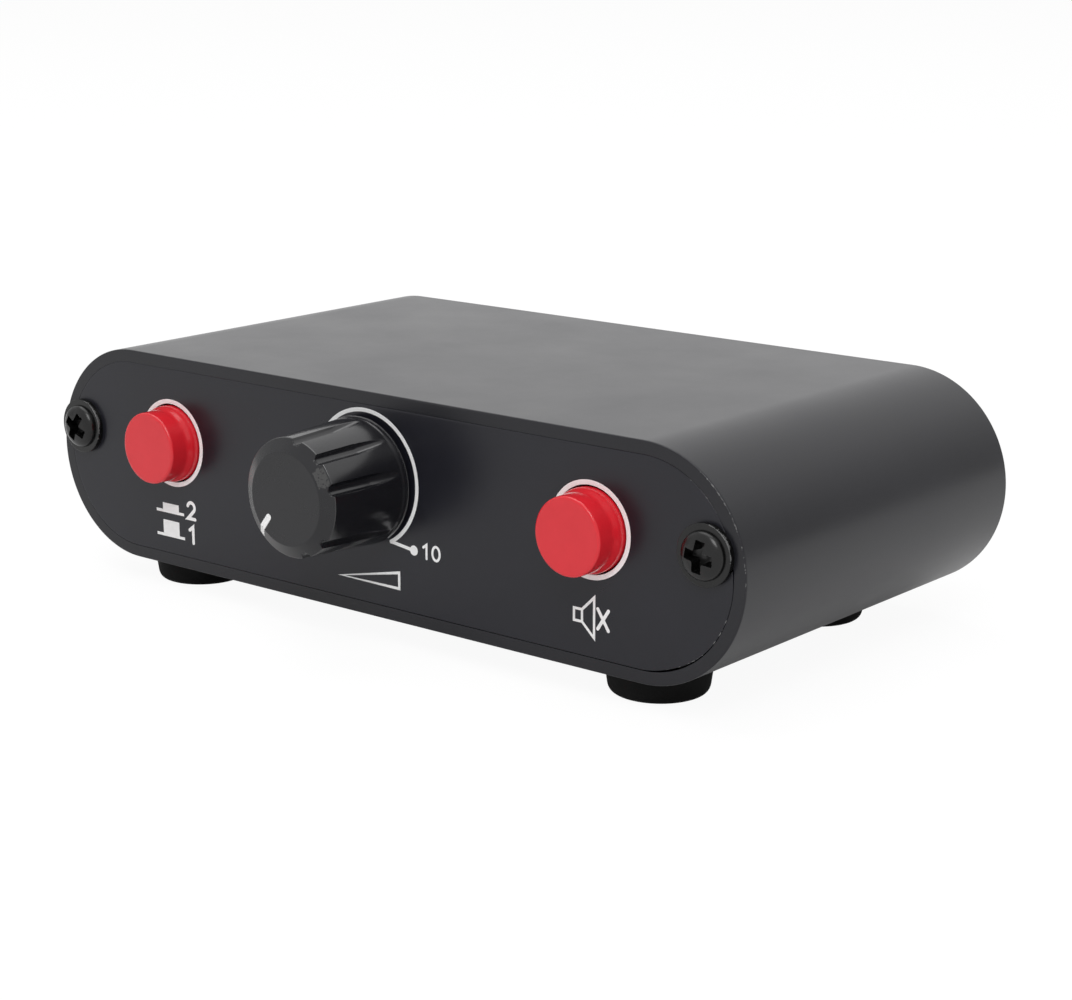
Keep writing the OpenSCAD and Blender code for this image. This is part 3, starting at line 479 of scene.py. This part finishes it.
# edge specks of both panels: real wear, and painted glints within the spans
panelWearAndGlints = edgeWearAndGlints(panel["inset"] - panel["wearAndGlintOut"], panel["inset"] + panel["wearAndGlintIn"], panel["wornAndLit"])
makePiece("frontPanelPlate", panelPlate(frontHoles, atFront, dent, share), finish["panelAnodised"], "case",
    ["front_panel"], edgeMask=panelWearAndGlints)
makePiece("rearPanelPlate", panelPlate(rearHoles, atRear), finish["panelAnodised"], "case",
    ["rear_panel"], edgeMask=panelWearAndGlints)

# panel screws: flange, domed head and cross recess
screw = dict(flange=3.6, flangeThick=0.75, flangeEdge=0.12, ledge=0.05, head=2.85, height=2.0, shoulder=1.5,
    dome=6.0, crossLen=3.6, crossWide=1.1, crossDeep=1.7, crossSlope=0.09, shallower=0.25, core=0.9,
    shank=1.4, length=9.0, tip=0.3, wornAndLit=0.07, glintTo=35, glintDeep=0.2, frontTurns=(-30, -8),
    rearTurns=(20, 61), sides=208, domeRows=32, shoulderRows=36)


def crossOutline(a, b, turn):
    # distance outside the outline of the cross, less than nothing inside it: two bars and a round core
    spin = np.radians(turn)
    u, v = a * np.cos(spin) + b * np.sin(spin), b * np.cos(spin) - a * np.sin(spin)
    wide, long = screw["crossWide"] / 2, screw["crossLen"] / 2
    across = np.maximum(np.abs(u) - wide, np.abs(v) - long)
    along = np.maximum(np.abs(v) - wide, np.abs(u) - long)
    return np.minimum(np.minimum(across, along), np.hypot(u, v) - screw["core"])


def screwSurface(place, turn):
    # height over radius and angle: shoulder and dome, less a cross that gets shallower outwards; the flange
    # and the shank are turned
    flat = softCorners([(screw["head"] + screw["ledge"], screw["flangeThick"], 0),
        (screw["flange"], screw["flangeThick"], screw["flangeEdge"]), (screw["flange"], 0, 0),
        (screw["shank"], 0, 0), (screw["shank"], -screw["length"], screw["tip"]), (0, -screw["length"], 0)])
    fall = np.linspace(0, np.pi / 2, screw["shoulderRows"] + 1)[1:]
    radius = np.concatenate([np.linspace(0, screw["head"] - screw["shoulder"], screw["domeRows"]),
        screw["head"] - screw["shoulder"] * (1 - np.sin(fall))])
    rim = np.clip((screw["head"] - radius) / screw["shoulder"], 0, 1)
    shoulder = screw["flangeThick"] + (screw["height"] - screw["flangeThick"]) * np.sqrt(1 - (1 - rim) ** 2)
    dome = shoulder - (screw["dome"] - np.sqrt(screw["dome"] ** 2 - radius ** 2)) * rim
    angle = np.linspace(0, 2 * np.pi, screw["sides"], endpoint=False)[:, None]
    a, b = radius * np.cos(angle), radius * np.sin(angle)
    deep = screw["crossDeep"] * (1 - screw["shallower"] * np.clip(2 * radius / screw["crossLen"], 0, 1))
    cut = np.clip(0.5 - crossOutline(a, b, turn) / screw["crossSlope"], 0, 1) * deep
    head = quadGrid(place(a, b, np.broadcast_to(dome, a.shape) - cut), closeU=True)
    flat = np.concatenate([[(screw["head"], screw["flangeThick"])], flat])
    return [head, revolve(flat, place, screw["sides"])]


def screwGlints(spots):
    # painted glints: lighter edges of the front crosses, and of the flanges' rims towards the upper right,
    # where light catches them
    wornAndLit = np.zeros(len(spots))
    high = frontY - spots[:, 1]
    for x, turn in zip(frontScrewXs, screw["frontTurns"]):
        a, b = spots[:, 0] - x, spots[:, 2] - midZ - screwZ
        onCross = (np.abs(crossOutline(a, b, turn)) < screw["wornAndLit"]) & (high > screw["flangeThick"])
        onRim = np.abs(np.hypot(a, b) - screw["flange"]) < screw["wornAndLit"]
        onRim &= high > screw["flangeThick"] - screw["glintDeep"]
        towards = np.clip(np.cos(np.arctan2(b, a) - np.radians(screw["glintTo"])), 0, 1)
        wornAndLit = np.maximum(wornAndLit, np.maximum(onCross, onRim) * towards)
    return wornAndLit


# the front screws carry painted glints on their cross edges and flange rims
for node, place, xs, turns in (("front_panel_screws", atFront, frontScrewXs, screw["frontTurns"]),
                               ("rear_panel_screws", atRear, rearScrewXs, screw["rearTurns"])):
    parts = [part for x, turn in zip(xs, turns) for part in screwSurface(place(x, screwZ), turn)]
    makePiece(node + "_dressed", parts, finish["screwPlating"], "case", [node], crease=40,
        edgeMask=screwGlints)

# rubber feet: a short cone with a rounded lower edge and a dimple below
foot = dict(base=5.9, top=6.4, topEdge=0.1, edge=1.1, dimple=2.4, dimpleDeep=1.2, dimpleEdge=0.2)
for corner in ("front_left", "front_right", "rear_left", "rear_right"):
    low, high = boxOf("foot_" + corner)
    x, y = ((low + high) / 2)[:2]
    section = softCorners([(0, high[2], 0), (foot["top"], high[2], foot["topEdge"]),
        (foot["base"], 0, foot["edge"]), (foot["dimple"], 0, foot["dimpleEdge"]),
        (foot["dimple"], foot["dimpleDeep"], foot["dimpleEdge"]), (0, foot["dimpleDeep"], 0)], steps=8)
    makePiece("rubberFoot_" + corner, [revolve(section, onTable(x, y))], finish["footRubber"], "case",
        ["foot_" + corner])

# button caps: a plain round front with a soft edge, on a slightly wider root with a short slope between
cap = dict(radius=4.65, edge=0.4, margin=0.06, root=5.0, rootEdge=0.2, slopeHigh=1.7, slopeLow=0.8,
    slopeEdge=0.3, sides=128)
for name in ("source", "mute"):
    low, high = boxOf(name + "_button_cap")
    proud, back = frontY - low[1], frontY - high[1]
    section = softCorners([(0, proud, 0), (cap["radius"] - cap["edge"] - cap["margin"], proud, 0),
        (cap["radius"], proud, cap["edge"]), (cap["radius"], cap["slopeHigh"], cap["slopeEdge"]),
        (cap["root"], cap["slopeLow"], cap["slopeEdge"]), (cap["root"], back, cap["rootEdge"]),
        (0, back, 0)], steps=8)
    turned = revolve(section, atFront((low[0] + high[0]) / 2, capZ), cap["sides"])
    makePiece(name + "ButtonCap", [turned], finish["capRed"], name + "_button",
        [name + "_button_cap"])

# volume knob: low skirt, grooved and tapered grip, bevel and face over a hollow; grooves: angles in degrees
knob = dict(gap=0.8, skirt=7.9, skirtHigh=0.7, skirtEdge=0.15, waist=0.4, gripBase=7.8, grip=7.25,
    gripEdge=0.12, bevel=0.95, bevelRows=8, face=5.6, faceEdge=0.1, faceMargin=0.2, hollow=6.1, hollowTop=3.3,
    hollowEdge=0.1, shaftHole=3.03, sides=180, grooves=(-71, -41, 16, 48, 80), grooveRound=0.75,
    grooveDeep=0.6, grooveEdge=0.05, grooveStart=0.2, grooveRun=4.5, grooveRows=16, grooveTop=1,
    grooveSpan=7, grooveSides=29, glintFrom=16, glintTo=46, glintFade=6, glintMargin=0.1)
knobTop = frontY - knobLow[1]


def knobSurface():
    # outline of radius and height turned round the axis; along the grip the radius is the lesser of the
    # outline's and of the near side of the round groove that the ray at that angle meets; each groove
    # follows the taper and gets shallower towards the skirt
    bevelLow = knobTop - knob["bevel"]
    gripLow = knob["gap"] + knob["skirtHigh"] + knob["waist"]
    start = gripLow + knob["grooveStart"]
    rows = np.linspace(start, start + knob["grooveRun"], knob["grooveRows"])
    rows = np.append(rows, bevelLow - knob["grooveTop"])
    taper = (knob["grip"] - knob["gripBase"]) / (bevelLow - gripLow)
    grip = np.stack([knob["gripBase"] + taper * (rows - gripLow), rows], 1)
    lower = softCorners([(knob["shaftHole"], knob["hollowTop"], 0),
        (knob["hollow"], knob["hollowTop"], knob["hollowEdge"]),
        (knob["hollow"], knob["gap"], knob["hollowEdge"]), (knob["skirt"], knob["gap"], knob["skirtEdge"]),
        (knob["skirt"], gripLow - knob["waist"], knob["skirtEdge"]),
        (knob["gripBase"], gripLow, knob["skirtEdge"]), (*grip[0], 0)], steps=4)[:-1]
    along = np.linspace(0, 1, knob["bevelRows"] + 1)[1:-1]
    bevel = np.stack([knob["grip"] + (knob["face"] - knob["grip"]) * along, bevelLow + knob["bevel"] * along,
        np.zeros(len(along))], 1)
    upper = softCorners([(*grip[-1], 0), (knob["grip"], bevelLow, knob["gripEdge"]), *bevel,
        (knob["face"], knobTop, knob["faceEdge"]), (knob["face"] - knob["faceMargin"], knobTop, 0),
        (0, knobTop, 0)])[1:]
    plain, height = np.concatenate([lower, grip, upper]).T
    centres = np.radians(knob["grooves"])
    near = np.radians(np.linspace(-knob["grooveSpan"], knob["grooveSpan"], knob["grooveSides"]))
    even = np.linspace(0, 2 * np.pi, knob["sides"], endpoint=False)
    turn = np.append(even, (centres[:, None] + near) % (2 * np.pi))
    turn = np.unique(np.round(turn, decimals=6))[:, None]
    off = np.abs((turn - centres + np.pi) % (2 * np.pi) - np.pi).min(1)[:, None]
    deep = knob["grooveDeep"] * np.clip((height - start) / knob["grooveRun"], 0, 1)
    middle = knob["gripBase"] + taper * (height - gripLow) + knob["grooveRound"] - deep
    reach = np.maximum(knob["grooveRound"] ** 2 - (middle * np.sin(off)) ** 2, 0)
    cut = middle * np.cos(off) - np.sqrt(reach)
    soft = knob["grooveEdge"]
    blend = np.clip(0.5 + (cut - plain) / (2 * soft), 0, 1)
    lesser = cut + (plain - cut) * blend - soft * blend * (1 - blend)
    radius = np.where((reach > 0) & (height > start), lesser, plain)
    return quadGrid(atFront(0, knobZ)(radius * np.cos(turn), radius * np.sin(turn), height), closeU=True)


def knobBevelWearAndGlint(spots):
    # rubbed patch on the bevel between two angles round the knob: lighter specks that are partly wear and
    # partly a painted highlight where the front lamp catches the bevel
    angle = np.degrees(np.arctan2(spots[:, 2] - midZ - knobZ, spots[:, 0]))
    within = np.minimum(angle - knob["glintFrom"], knob["glintTo"] - angle) / knob["glintFade"]
    high = frontY - spots[:, 1] - knobTop
    onBevel = (high > knob["glintMargin"] - knob["bevel"]) & (high < -knob["glintMargin"])
    return np.clip(within, 0, 1) * onBevel


turned = makePiece("volumeKnob", [knobSurface()], finish["knobGrip"], "volume_control",
    ["volume_knob"], crease=28, edgeMask=knobBevelWearAndGlint)
turned.data.materials.append(finish["knobFace"])
middles = np.empty(len(turned.data.polygons) * 3)
turned.data.polygons.foreach_get("center", middles)
onFace = middles[1::3] / mm < frontY - knobTop + knob["bevel"]
turned.data.polygons.foreach_set("material_index", onFace.astype(np.int32))

# ink: half the film's thickness, how much higher the next of its layers stands, and the sharpest mitre
ink = dict(film=0.012, step=0.001, layers=9, mitre=0.3, nudge=1e-5, endSteps=6, dotSteps=25)


def ribbon(spine, half, place, high):
    # flat film of ink: the spine's points moved to both sides by a half width, with a top and an underside
    spine, half = np.array(spine, float), np.broadcast_to(np.array(half, float), len(spine))[:, None]
    step = np.diff(spine, axis=0)
    step /= np.linalg.norm(step, axis=1)[:, None]
    ahead, behind = np.vstack([step, step[-1:]]), np.vstack([step[:1], step])
    if np.allclose(spine[0], spine[-1]):
        ahead[-1], behind[0] = step[0], step[-1]
    along = ahead + behind
    along /= np.linalg.norm(along, axis=1)[:, None]
    mitre = np.maximum((along * ahead).sum(1), ink["mitre"])[:, None]
    out = np.stack([-along[:, 1], along[:, 0]], 1) * half / mitre
    left, right = spine + out, spine - out
    flat = np.stack([left, left, right, right], 1)
    rise = np.array([-high, high, high, -high])
    return quadGrid(place(flat[:, :, 0], flat[:, :, 1], rise), closeV=True)


def printed(strokes, place):
    # each stroke a hair higher than the one before it, so that none shares a face where they cross
    return [ribbon(spine, half, place, ink["film"] + ink["step"] * (count % ink["layers"]))
        for count, (spine, half) in enumerate(strokes)]


def stroke(points, width):
    # line of ink with round ends
    points = np.array(points, float)
    half = width / 2
    swing = np.linspace(0, np.pi / 2, ink["endSteps"])
    first = (points[0] - points[1]) / np.linalg.norm(points[0] - points[1])
    last = (points[-1] - points[-2]) / np.linalg.norm(points[-1] - points[-2])
    spine = np.vstack([points[0] + first * half * np.cos(swing)[:, None], points[1:-1],
        points[-1] + last * half * np.sin(swing)[:, None]])
    wide = np.concatenate([half * np.sin(swing), np.full(len(points) - 2, half), half * np.cos(swing)])
    return spine, wide


def bar(first, second, width):
    # line of ink with square ends
    spine = np.array([first, first, second, second], float)
    spine[0] -= (spine[2] - spine[0]) * ink["nudge"]
    spine[3] += (spine[2] - spine[0]) * ink["nudge"]
    return spine, np.array([0, width / 2, width / 2, 0])


def dot(x, z, r):
    swing = np.linspace(0, np.pi, ink["dotSteps"])
    return np.stack([x - r * np.cos(swing), np.full(len(swing), z)], 1), r * np.sin(swing)


def arc(x, z, r, start, end, steps=120):
    swing = np.radians(np.linspace(start, end, steps))
    return np.stack([x + r * np.cos(swing), z + r * np.sin(swing)], 1)


def loop(points, width):
    return np.vstack([points, points[:1]]), width / 2


# proportions of the numerals to their height: 0 has its two radii, 1 its stem and flag, 2 its bowl and foot
digit = dict(half=0.34, tall=0.5, ovalSteps=48, stem=0.3, flag=0.78, bowl=0.3, bowlUp=0.7,
    bowlFrom=165, bowlTo=-40, bowlSteps=18, foot=0.62)


def numeral(which, x, z, high, width):
    # plain stroke numerals in a box that starts at x, z
    if which == "0":
        swing = np.linspace(0, 2 * np.pi, digit["ovalSteps"], endpoint=False)
        across = x + high * (digit["half"] + digit["half"] * np.cos(swing))
        up = z + high * (digit["tall"] + digit["tall"] * np.sin(swing))
        return [loop(np.stack([across, up], 1), width)]
    if which == "1":
        stem = x + high * digit["stem"]
        return [stroke([(x, z + high * digit["flag"]), (stem, z + high), (stem, z)], width)]
    bowl = arc(x + high * digit["bowl"], z + high * digit["bowlUp"], high * digit["bowl"],
        digit["bowlFrom"], digit["bowlTo"], digit["bowlSteps"])
    return [stroke(np.vstack([bowl, [(x, z), (x + high * digit["foot"], z)]]), width)]


# marks printed on the front, from the middle of the panel: rings, level arc, push signs and the mute sign
marks = dict(ring=5.5, ringWide=0.58, ringEnd=357, arc=8.37, arcWide=0.5, arcZ=3.32, arcFrom=239.4,
    arcTo=-61, arcSteps=160, end=(7.77, -4.48), endWide=0.42, endDot=0.62, most=(9.3, -5.15), mostHigh=1.7,
    mostStep=1.45, line=0.32, wedge=[(-4.4, -9.7), (5.3, -9.7), (5.3, -7.7)], wedgeWide=0.36,
    pushSigns=[dict(number="2", x=-32.05, base=-6.75, top=-5.8),
        dict(number="1", x=-31.8, base=-9.98, top=-8.1)],
    bar=(-38.1, -32.8), barWide=0.38, block=(-36.85, -33.8), overlap=0.3, numberHigh=2.15, numberWide=0.46,
    numberDrop=0.3, crossWide=0.42,
    cone=[(32.38, -6.9), (33.55, -6.9), (35.3, -5.2), (35.3, -9.98), (33.55, -8.34), (32.38, -8.34)],
    coneBack=[(33.55, -6.9), (33.55, -8.34)],
    cross=[[(35.83, -6.42), (37.35, -8.76)], [(37.35, -6.42), (35.83, -8.76)]])


def frontMarks():
    line, (mostX, mostZ) = marks["line"], marks["most"]
    rings = [arc(side * capX, capZ, marks["ring"], 0, marks["ringEnd"]) for side in (-1, 1)]
    strokes = [loop(ring, marks["ringWide"]) for ring in rings]
    sweep = arc(0, marks["arcZ"], marks["arc"], marks["arcFrom"], marks["arcTo"], marks["arcSteps"])
    strokes.append(stroke(sweep, marks["arcWide"]))
    strokes.append(stroke([sweep[-1], marks["end"]], marks["endWide"]))
    strokes.append(dot(*marks["end"], marks["endDot"]))
    for count, number in enumerate("10"):
        strokes += numeral(number, mostX + count * marks["mostStep"], mostZ, marks["mostHigh"], line)
    strokes.append(loop(np.array(marks["wedge"]), marks["wedgeWide"]))
    for sign in marks["pushSigns"]:
        base, high = sign["base"], sign["top"] - sign["base"]
        middle = (sign["base"] + sign["top"]) / 2
        strokes.append(bar(*[(x, base) for x in marks["bar"]], marks["barWide"]))
        strokes.append(bar(*[(x, middle) for x in marks["block"]], high + marks["overlap"]))
        strokes += numeral(sign["number"], sign["x"], base - marks["numberDrop"], marks["numberHigh"],
            marks["numberWide"])
    strokes.append(loop(np.array(marks["cone"]), line))
    strokes.append(stroke(marks["coneBack"], line))
    return strokes + [stroke(points, marks["crossWide"]) for points in marks["cross"]]


makePiece("frontMarks", printed(frontMarks(), atFront(0, 0)), finish["whiteInk"], "case")

# marks printed on the rear: a bracket over each pair, open in its middle for a number where the pair goes in
# and for an arrow where it goes out
backMarks = dict(z=10.0, line=0.3, past=4, gap=2.2, barDrop=0.6, endDrop=1.4, numberHigh=2.0, numberX=-0.6,
    numberDrop=1.6, arrow=[[(-1.3, 9.4), (1.3, 9.4)], [(0.5, 10.1), (1.3, 9.4), (0.5, 8.7)]])


def rearMarks():
    barZ, endZ = backMarks["z"] - backMarks["barDrop"], backMarks["z"] - backMarks["endDrop"]
    span, gap = jackPitch / 2 + backMarks["past"], backMarks["gap"]
    strokes = []
    for x in pairXs:
        strokes.append(stroke([(x - span, endZ), (x - span, barZ), (x - gap, barZ)], backMarks["line"]))
        strokes.append(stroke([(x + gap, barZ), (x + span, barZ), (x + span, endZ)], backMarks["line"]))
    return strokes


def mirrored(x, z):
    # the rear seen from behind: local right is -X
    return lambda a, b, h: atRear(x, z)(-np.asarray(a), b, h)


rearStrokes = printed(rearMarks(), atRear(0, 0))
for number, x in zip("12", pairXs):
    strokes = numeral(number, backMarks["numberX"], backMarks["z"] - backMarks["numberDrop"],
        backMarks["numberHigh"], backMarks["line"])
    rearStrokes += printed(strokes, mirrored(x, 0))
arrow = [stroke(points, backMarks["line"]) for points in backMarks["arrow"]]
rearStrokes += printed(arrow, mirrored(pairXs[2], 0))
makePiece("rearMarks", rearStrokes, finish["whiteInk"], "case")

# pointer on the knob: a short white line across the edge of its face, round inside and square outside;
# inner and outer: radius and angle of its ends
pointer = dict(inner=(3.5, -139.5), outer=(7.0, -133.5), width=0.8, sunk=0.05, proud=0.02, roundRows=7,
    rows=24, firstRow=0.05, nudge=1e-4)


def knobPointer():
    # a straight strip between its two ends; its height follows the knob's face and then its bevel
    first, last = [r * np.array([np.cos(np.radians(t)), np.sin(np.radians(t))]) for r, t in
        (pointer["inner"], pointer["outer"])]
    length = np.linalg.norm(last - first)
    ahead = (last - first) / length
    swing = np.linspace(0, np.pi / 2, pointer["roundRows"])
    half = pointer["width"] / 2
    along = np.concatenate([half * (1 - np.cos(swing)),
        np.linspace(half + pointer["firstRow"], length, pointer["rows"]), [length + pointer["nudge"]]])
    wide = np.concatenate([half * np.sin(swing), np.full(pointer["rows"], half), [0]])
    spine = first + along[:, None] * ahead
    side = np.stack([wide, wide, -wide, -wide], 1)
    a, b = spine[:, :1] - side * ahead[1], spine[:, 1:] + side * ahead[0]
    slope = knob["bevel"] / (knob["grip"] - knob["face"])
    under, over = -pointer["sunk"], pointer["proud"]
    rise = knobTop - np.maximum(np.hypot(a, b) - knob["face"], 0) * slope
    return quadGrid(atFront(0, knobZ)(a, b, rise + np.array([under, over, over, under])), closeV=True)


makePiece("knobPointer", [knobPointer()], finish["whiteInk"], "volume_control")

# phono sockets: plated sleeves with rounded mouths and moulded inserts, on the axes that the part gives
jack = dict(sleeve=4.15, sleeveEnd=-3.0, sleeveEdge=0.08, sleeveSeam=4, bore=3.5, mouth=0.3, root=3.9,
    proud=9.5, recess=0.8, collar=5.0, collarHigh=1.2, collarEdge=0.25, collarInner=0.05, insertBore=1.83,
    insertEdge=0.25, insertMouth=0.35, insertSeam=2, fit=0.03, deep=2.5, web=1.5)


def sleeveSection():
    # closed outline of a tube as radius and height over the rear panel, stepped down inside its collar
    end, top = jack["sleeveEnd"], jack["proud"]
    return softCorners([(jack["bore"], jack["sleeveSeam"], 0), (jack["bore"], end, 0), (jack["root"], end, 0),
        (jack["root"], jack["collarHigh"], 0), (jack["sleeve"], jack["collarHigh"], jack["sleeveEdge"]),
        (jack["sleeve"], top, jack["mouth"]), (jack["bore"], top, jack["mouth"]),
        (jack["bore"], jack["sleeveSeam"], 0)])


def insertSection():
    # core inside the sleeve with a soft mouth, and the collar round the sleeve, joined behind it
    core, groove = jack["bore"] - jack["fit"], jack["root"] + jack["fit"]
    back = -panel["thick"] - jack["deep"]
    top, collarTop = jack["proud"] - jack["recess"], jack["collarHigh"]
    return softCorners([(jack["insertBore"], jack["insertSeam"], 0), (jack["insertBore"], back, 0),
        (jack["collar"], back, 0), (jack["collar"], collarTop, jack["collarEdge"]),
        (groove, collarTop, jack["collarInner"]), (groove, back + jack["web"], 0),
        (core, back + jack["web"], 0), (core, top, jack["insertEdge"]),
        (jack["insertBore"], top, jack["insertMouth"]), (jack["insertBore"], jack["insertSeam"], 0)])


for pair, x in zip(pairs, pairXs):
    tubes = [revolve(sleeveSection(), atRear(x + side * jackPitch / 2, jackZ)) for side in (-1, 1)]
    makePiece(pair + "_sleevesPlated", tubes, finish["sleeveNickel"], "case",
        [pair + "_jack_sleeves"])
for name, side, colour, slot in (("left", 1, "socketWhite", "socket_white"),
                                 ("right", -1, "socketRed", "socket_red")):
    cores = [revolve(insertSection(), atRear(x + side * jackPitch / 2, jackZ)) for x in pairXs]
    makePiece(name + "SocketInserts", cores, finish[colour], "case", [name + "_jack_inserts"])

# return springs behind the buttons: coils of round wire filling each spring's box
coil = dict(wire=0.22, turns=8, steps=40, sides=12, travel=2.5)


def coilSurface(low, high):
    # round wire carried along a helix about Y, its two end rings drawn in to points
    swing = np.linspace(0, 2 * np.pi * coil["turns"], coil["turns"] * coil["steps"] + 1)
    turn = np.pad(swing, 1, mode="edge")[:, None]
    wire = np.pad(np.full(len(swing), coil["wire"]), 1)[:, None]
    side = np.linspace(0, 2 * np.pi, coil["sides"], endpoint=False)
    radius = (high[0] - low[0]) / 2 - coil["wire"] + wire * np.cos(side)
    along = (high[1] - low[1] - 2 * coil["wire"]) * turn / swing[-1] + coil["wire"] + wire * np.sin(side)
    x, y, z = (low[0] + high[0]) / 2, low[1], (low[2] + high[2]) / 2
    rings = np.stack([x + radius * np.cos(turn), y + along, z + radius * np.sin(turn)], -1)
    return quadGrid(rings, closeV=True)


for name in ("source", "mute"):
    low, high = boxOf(name + "_switch_spring")
    spring = makePiece(name + "ReturnSpring", [coilSurface(low, high)], finish["dullNickel"], "case",
        [name + "_switch_spring"])
    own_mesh(spring)

# nodes that stay as the part gives them take a finish by their slot
slotFinish = {"board_green": "boardLacquer", "black_plastic": "mouldedBlack", "white_plastic": "mouldedWhite",
    "nickel": "dullNickel", "brass": "plainBrass", "phenolic": "paperPhenolic"}
for entry in frame["record"]["subparts"]:
    if entry["material_slot"] in slotFinish:
        data = nodes[entry["node"]].data
        data.materials.clear()
        data.materials.append(finish[slotFinish[entry["material_slot"]]])
print("inner nodes finished")

# floor and light in metres: white all round, a tall soft lamp in front and a broad one above for the soft
# shadow; the floor mirrored in the case shows darker near the case than further off
studio = dict(fill=0.34, floorHalf=4, floorWhite=0.88, floorGlow=0.9, floorStrength=1.04, nearShare=0.16,
    farShare=0.92, near=0.05, far=0.09)
white = (1, 1, 1, 1)
world = bpy.data.worlds.new("studioWhite")
scene.world = world
world.use_nodes = True
tree = world.node_tree
tree.nodes.clear()


def seenShare(tree, direct, reflected):
    # share for rays that come straight from the camera, and another for those mirrored or through glass
    path = addNode(tree, "ShaderNodeLightPath").outputs
    first = addNode(tree, "ShaderNodeMath", {0: path["Is Camera Ray"], 1: direct},
        operation="MULTIPLY").outputs[0]
    bounced = addNode(tree, "ShaderNodeMath", {0: path["Is Glossy Ray"], 1: path["Is Transmission Ray"]},
        operation="MAXIMUM").outputs[0]
    second = addNode(tree, "ShaderNodeMath", {0: bounced, 1: reflected}, operation="MULTIPLY").outputs[0]
    return addNode(tree, "ShaderNodeMath", {0: first, 1: second}, operation="MAXIMUM").outputs[0]


strength = addNode(tree, "ShaderNodeMapRange",
    {"Value": seenShare(tree, 1, 1), "To Min": studio["fill"], "To Max": 1.0}).outputs[0]
sky = addNode(tree, "ShaderNodeBackground", {"Color": white, "Strength": strength})
tree.links.new(sky.outputs[0], addNode(tree, "ShaderNodeOutputWorld").inputs["Surface"])

half = studio["floorHalf"]
floorMesh = bpy.data.meshes.new("floor")
floorMesh.from_pydata(np.array([(-half, -half, 0), (half, -half, 0), (half, half, 0), (-half, half, 0)]), [],
    [(0, 1, 2, 3)])
floor = bpy.data.objects.new("floor", floorMesh)
scene.collection.objects.link(floor)
paper = bpy.data.materials.new("floorPaper")
paper.use_nodes = True
tree = paper.node_tree
tree.nodes.clear()
matt = addNode(tree, "ShaderNodeBsdfDiffuse", {"Color": (*[studio["floorWhite"]] * 3, 1)})
glow = addNode(tree, "ShaderNodeEmission", {"Color": white, "Strength": studio["floorStrength"]})
spot = addNode(tree, "ShaderNodeTexCoord").outputs["Object"]
away = addNode(tree, "ShaderNodeVectorMath", {0: spot}, operation="LENGTH").outputs["Value"]
reflected = addNode(tree, "ShaderNodeMapRange", {"Value": away, "From Min": studio["near"],
    "From Max": studio["far"], "To Min": studio["nearShare"], "To Max": studio["farShare"]}).outputs[0]
both = addNode(tree, "ShaderNodeMixShader",
    {0: seenShare(tree, studio["floorGlow"], reflected), 1: matt.outputs[0], 2: glow.outputs[0]})
tree.links.new(both.outputs[0], addNode(tree, "ShaderNodeOutputMaterial").inputs["Surface"])
floorMesh.materials.append(paper)

# grey boards out of sight that glow by emission instead of taking light, lighter upwards, seen only in
# reflections: they paint the dark reflected bands along the rounded side and on edges at the left
boards = dict(
    right=dict(ends=[(0.84, 0.18), (0.12, 0.84)], high=0.45, low=0.42, top=0.95),
    left=dict(ends=[(-0.6, -0.4), (-0.6, 0.4)], high=0.3, low=0.5, top=0.85))
for name, board in boards.items():
    (leftX, leftY), (rightX, rightY) = board["ends"]
    boardMesh = bpy.data.meshes.new(name + "Board")
    boardMesh.from_pydata(np.array([(leftX, leftY, 0), (rightX, rightY, 0), (rightX, rightY, board["high"]),
        (leftX, leftY, board["high"])]), [], [(0, 1, 2, 3)])
    greyBoard = bpy.data.objects.new(name + "Board", boardMesh)
    scene.collection.objects.link(greyBoard)
    greyBoard.visible_camera = greyBoard.visible_diffuse = greyBoard.visible_shadow = False
    reflectedGlow = bpy.data.materials.new(name + "ReflectedGlow")
    reflectedGlow.use_nodes = True
    tree = reflectedGlow.node_tree
    tree.nodes.clear()
    spot = addNode(tree, "ShaderNodeTexCoord").outputs["Object"]
    level = addNode(tree, "ShaderNodeSeparateXYZ", {0: spot}).outputs["Z"]
    shade = addNode(tree, "ShaderNodeMapRange", {"Value": level, "From Max": board["high"],
        "To Min": board["low"], "To Max": board["top"]}).outputs[0]
    # painted reflection: the board glows at a set strength instead of being lit
    glowNode = addNode(tree, "ShaderNodeEmission", {"Color": white, "Strength": shade})
    tree.links.new(glowNode.outputs[0], addNode(tree, "ShaderNodeOutputMaterial").inputs["Surface"])
    boardMesh.materials.append(reflectedGlow)

lamps = dict(
    front=dict(place=(0.46, -0.62, 0.85), aim=(0, 0, 0.02), shape="RECTANGLE", size=0.5, tall=0.6, power=5.7),
    above=dict(place=(-0.3, 0.1, 1.4), aim=(0, 0, 0.02), shape="ELLIPSE", size=1.4, tall=1.4, power=9.0))
for name, lamp in lamps.items():
    data = bpy.data.lights.new(name, "AREA")
    data.shape, data.size, data.size_y, data.energy = lamp["shape"], lamp["size"], lamp["tall"], lamp["power"]
    light = bpy.data.objects.new(name, data)
    light.location = lamp["place"]
    light.rotation_euler = (Vector(lamp["aim"]) - Vector(lamp["place"])).to_track_quat("-Z", "Y").to_euler()
    scene.collection.objects.link(light)
print("light set")

scene.view_settings.view_transform = "Standard"
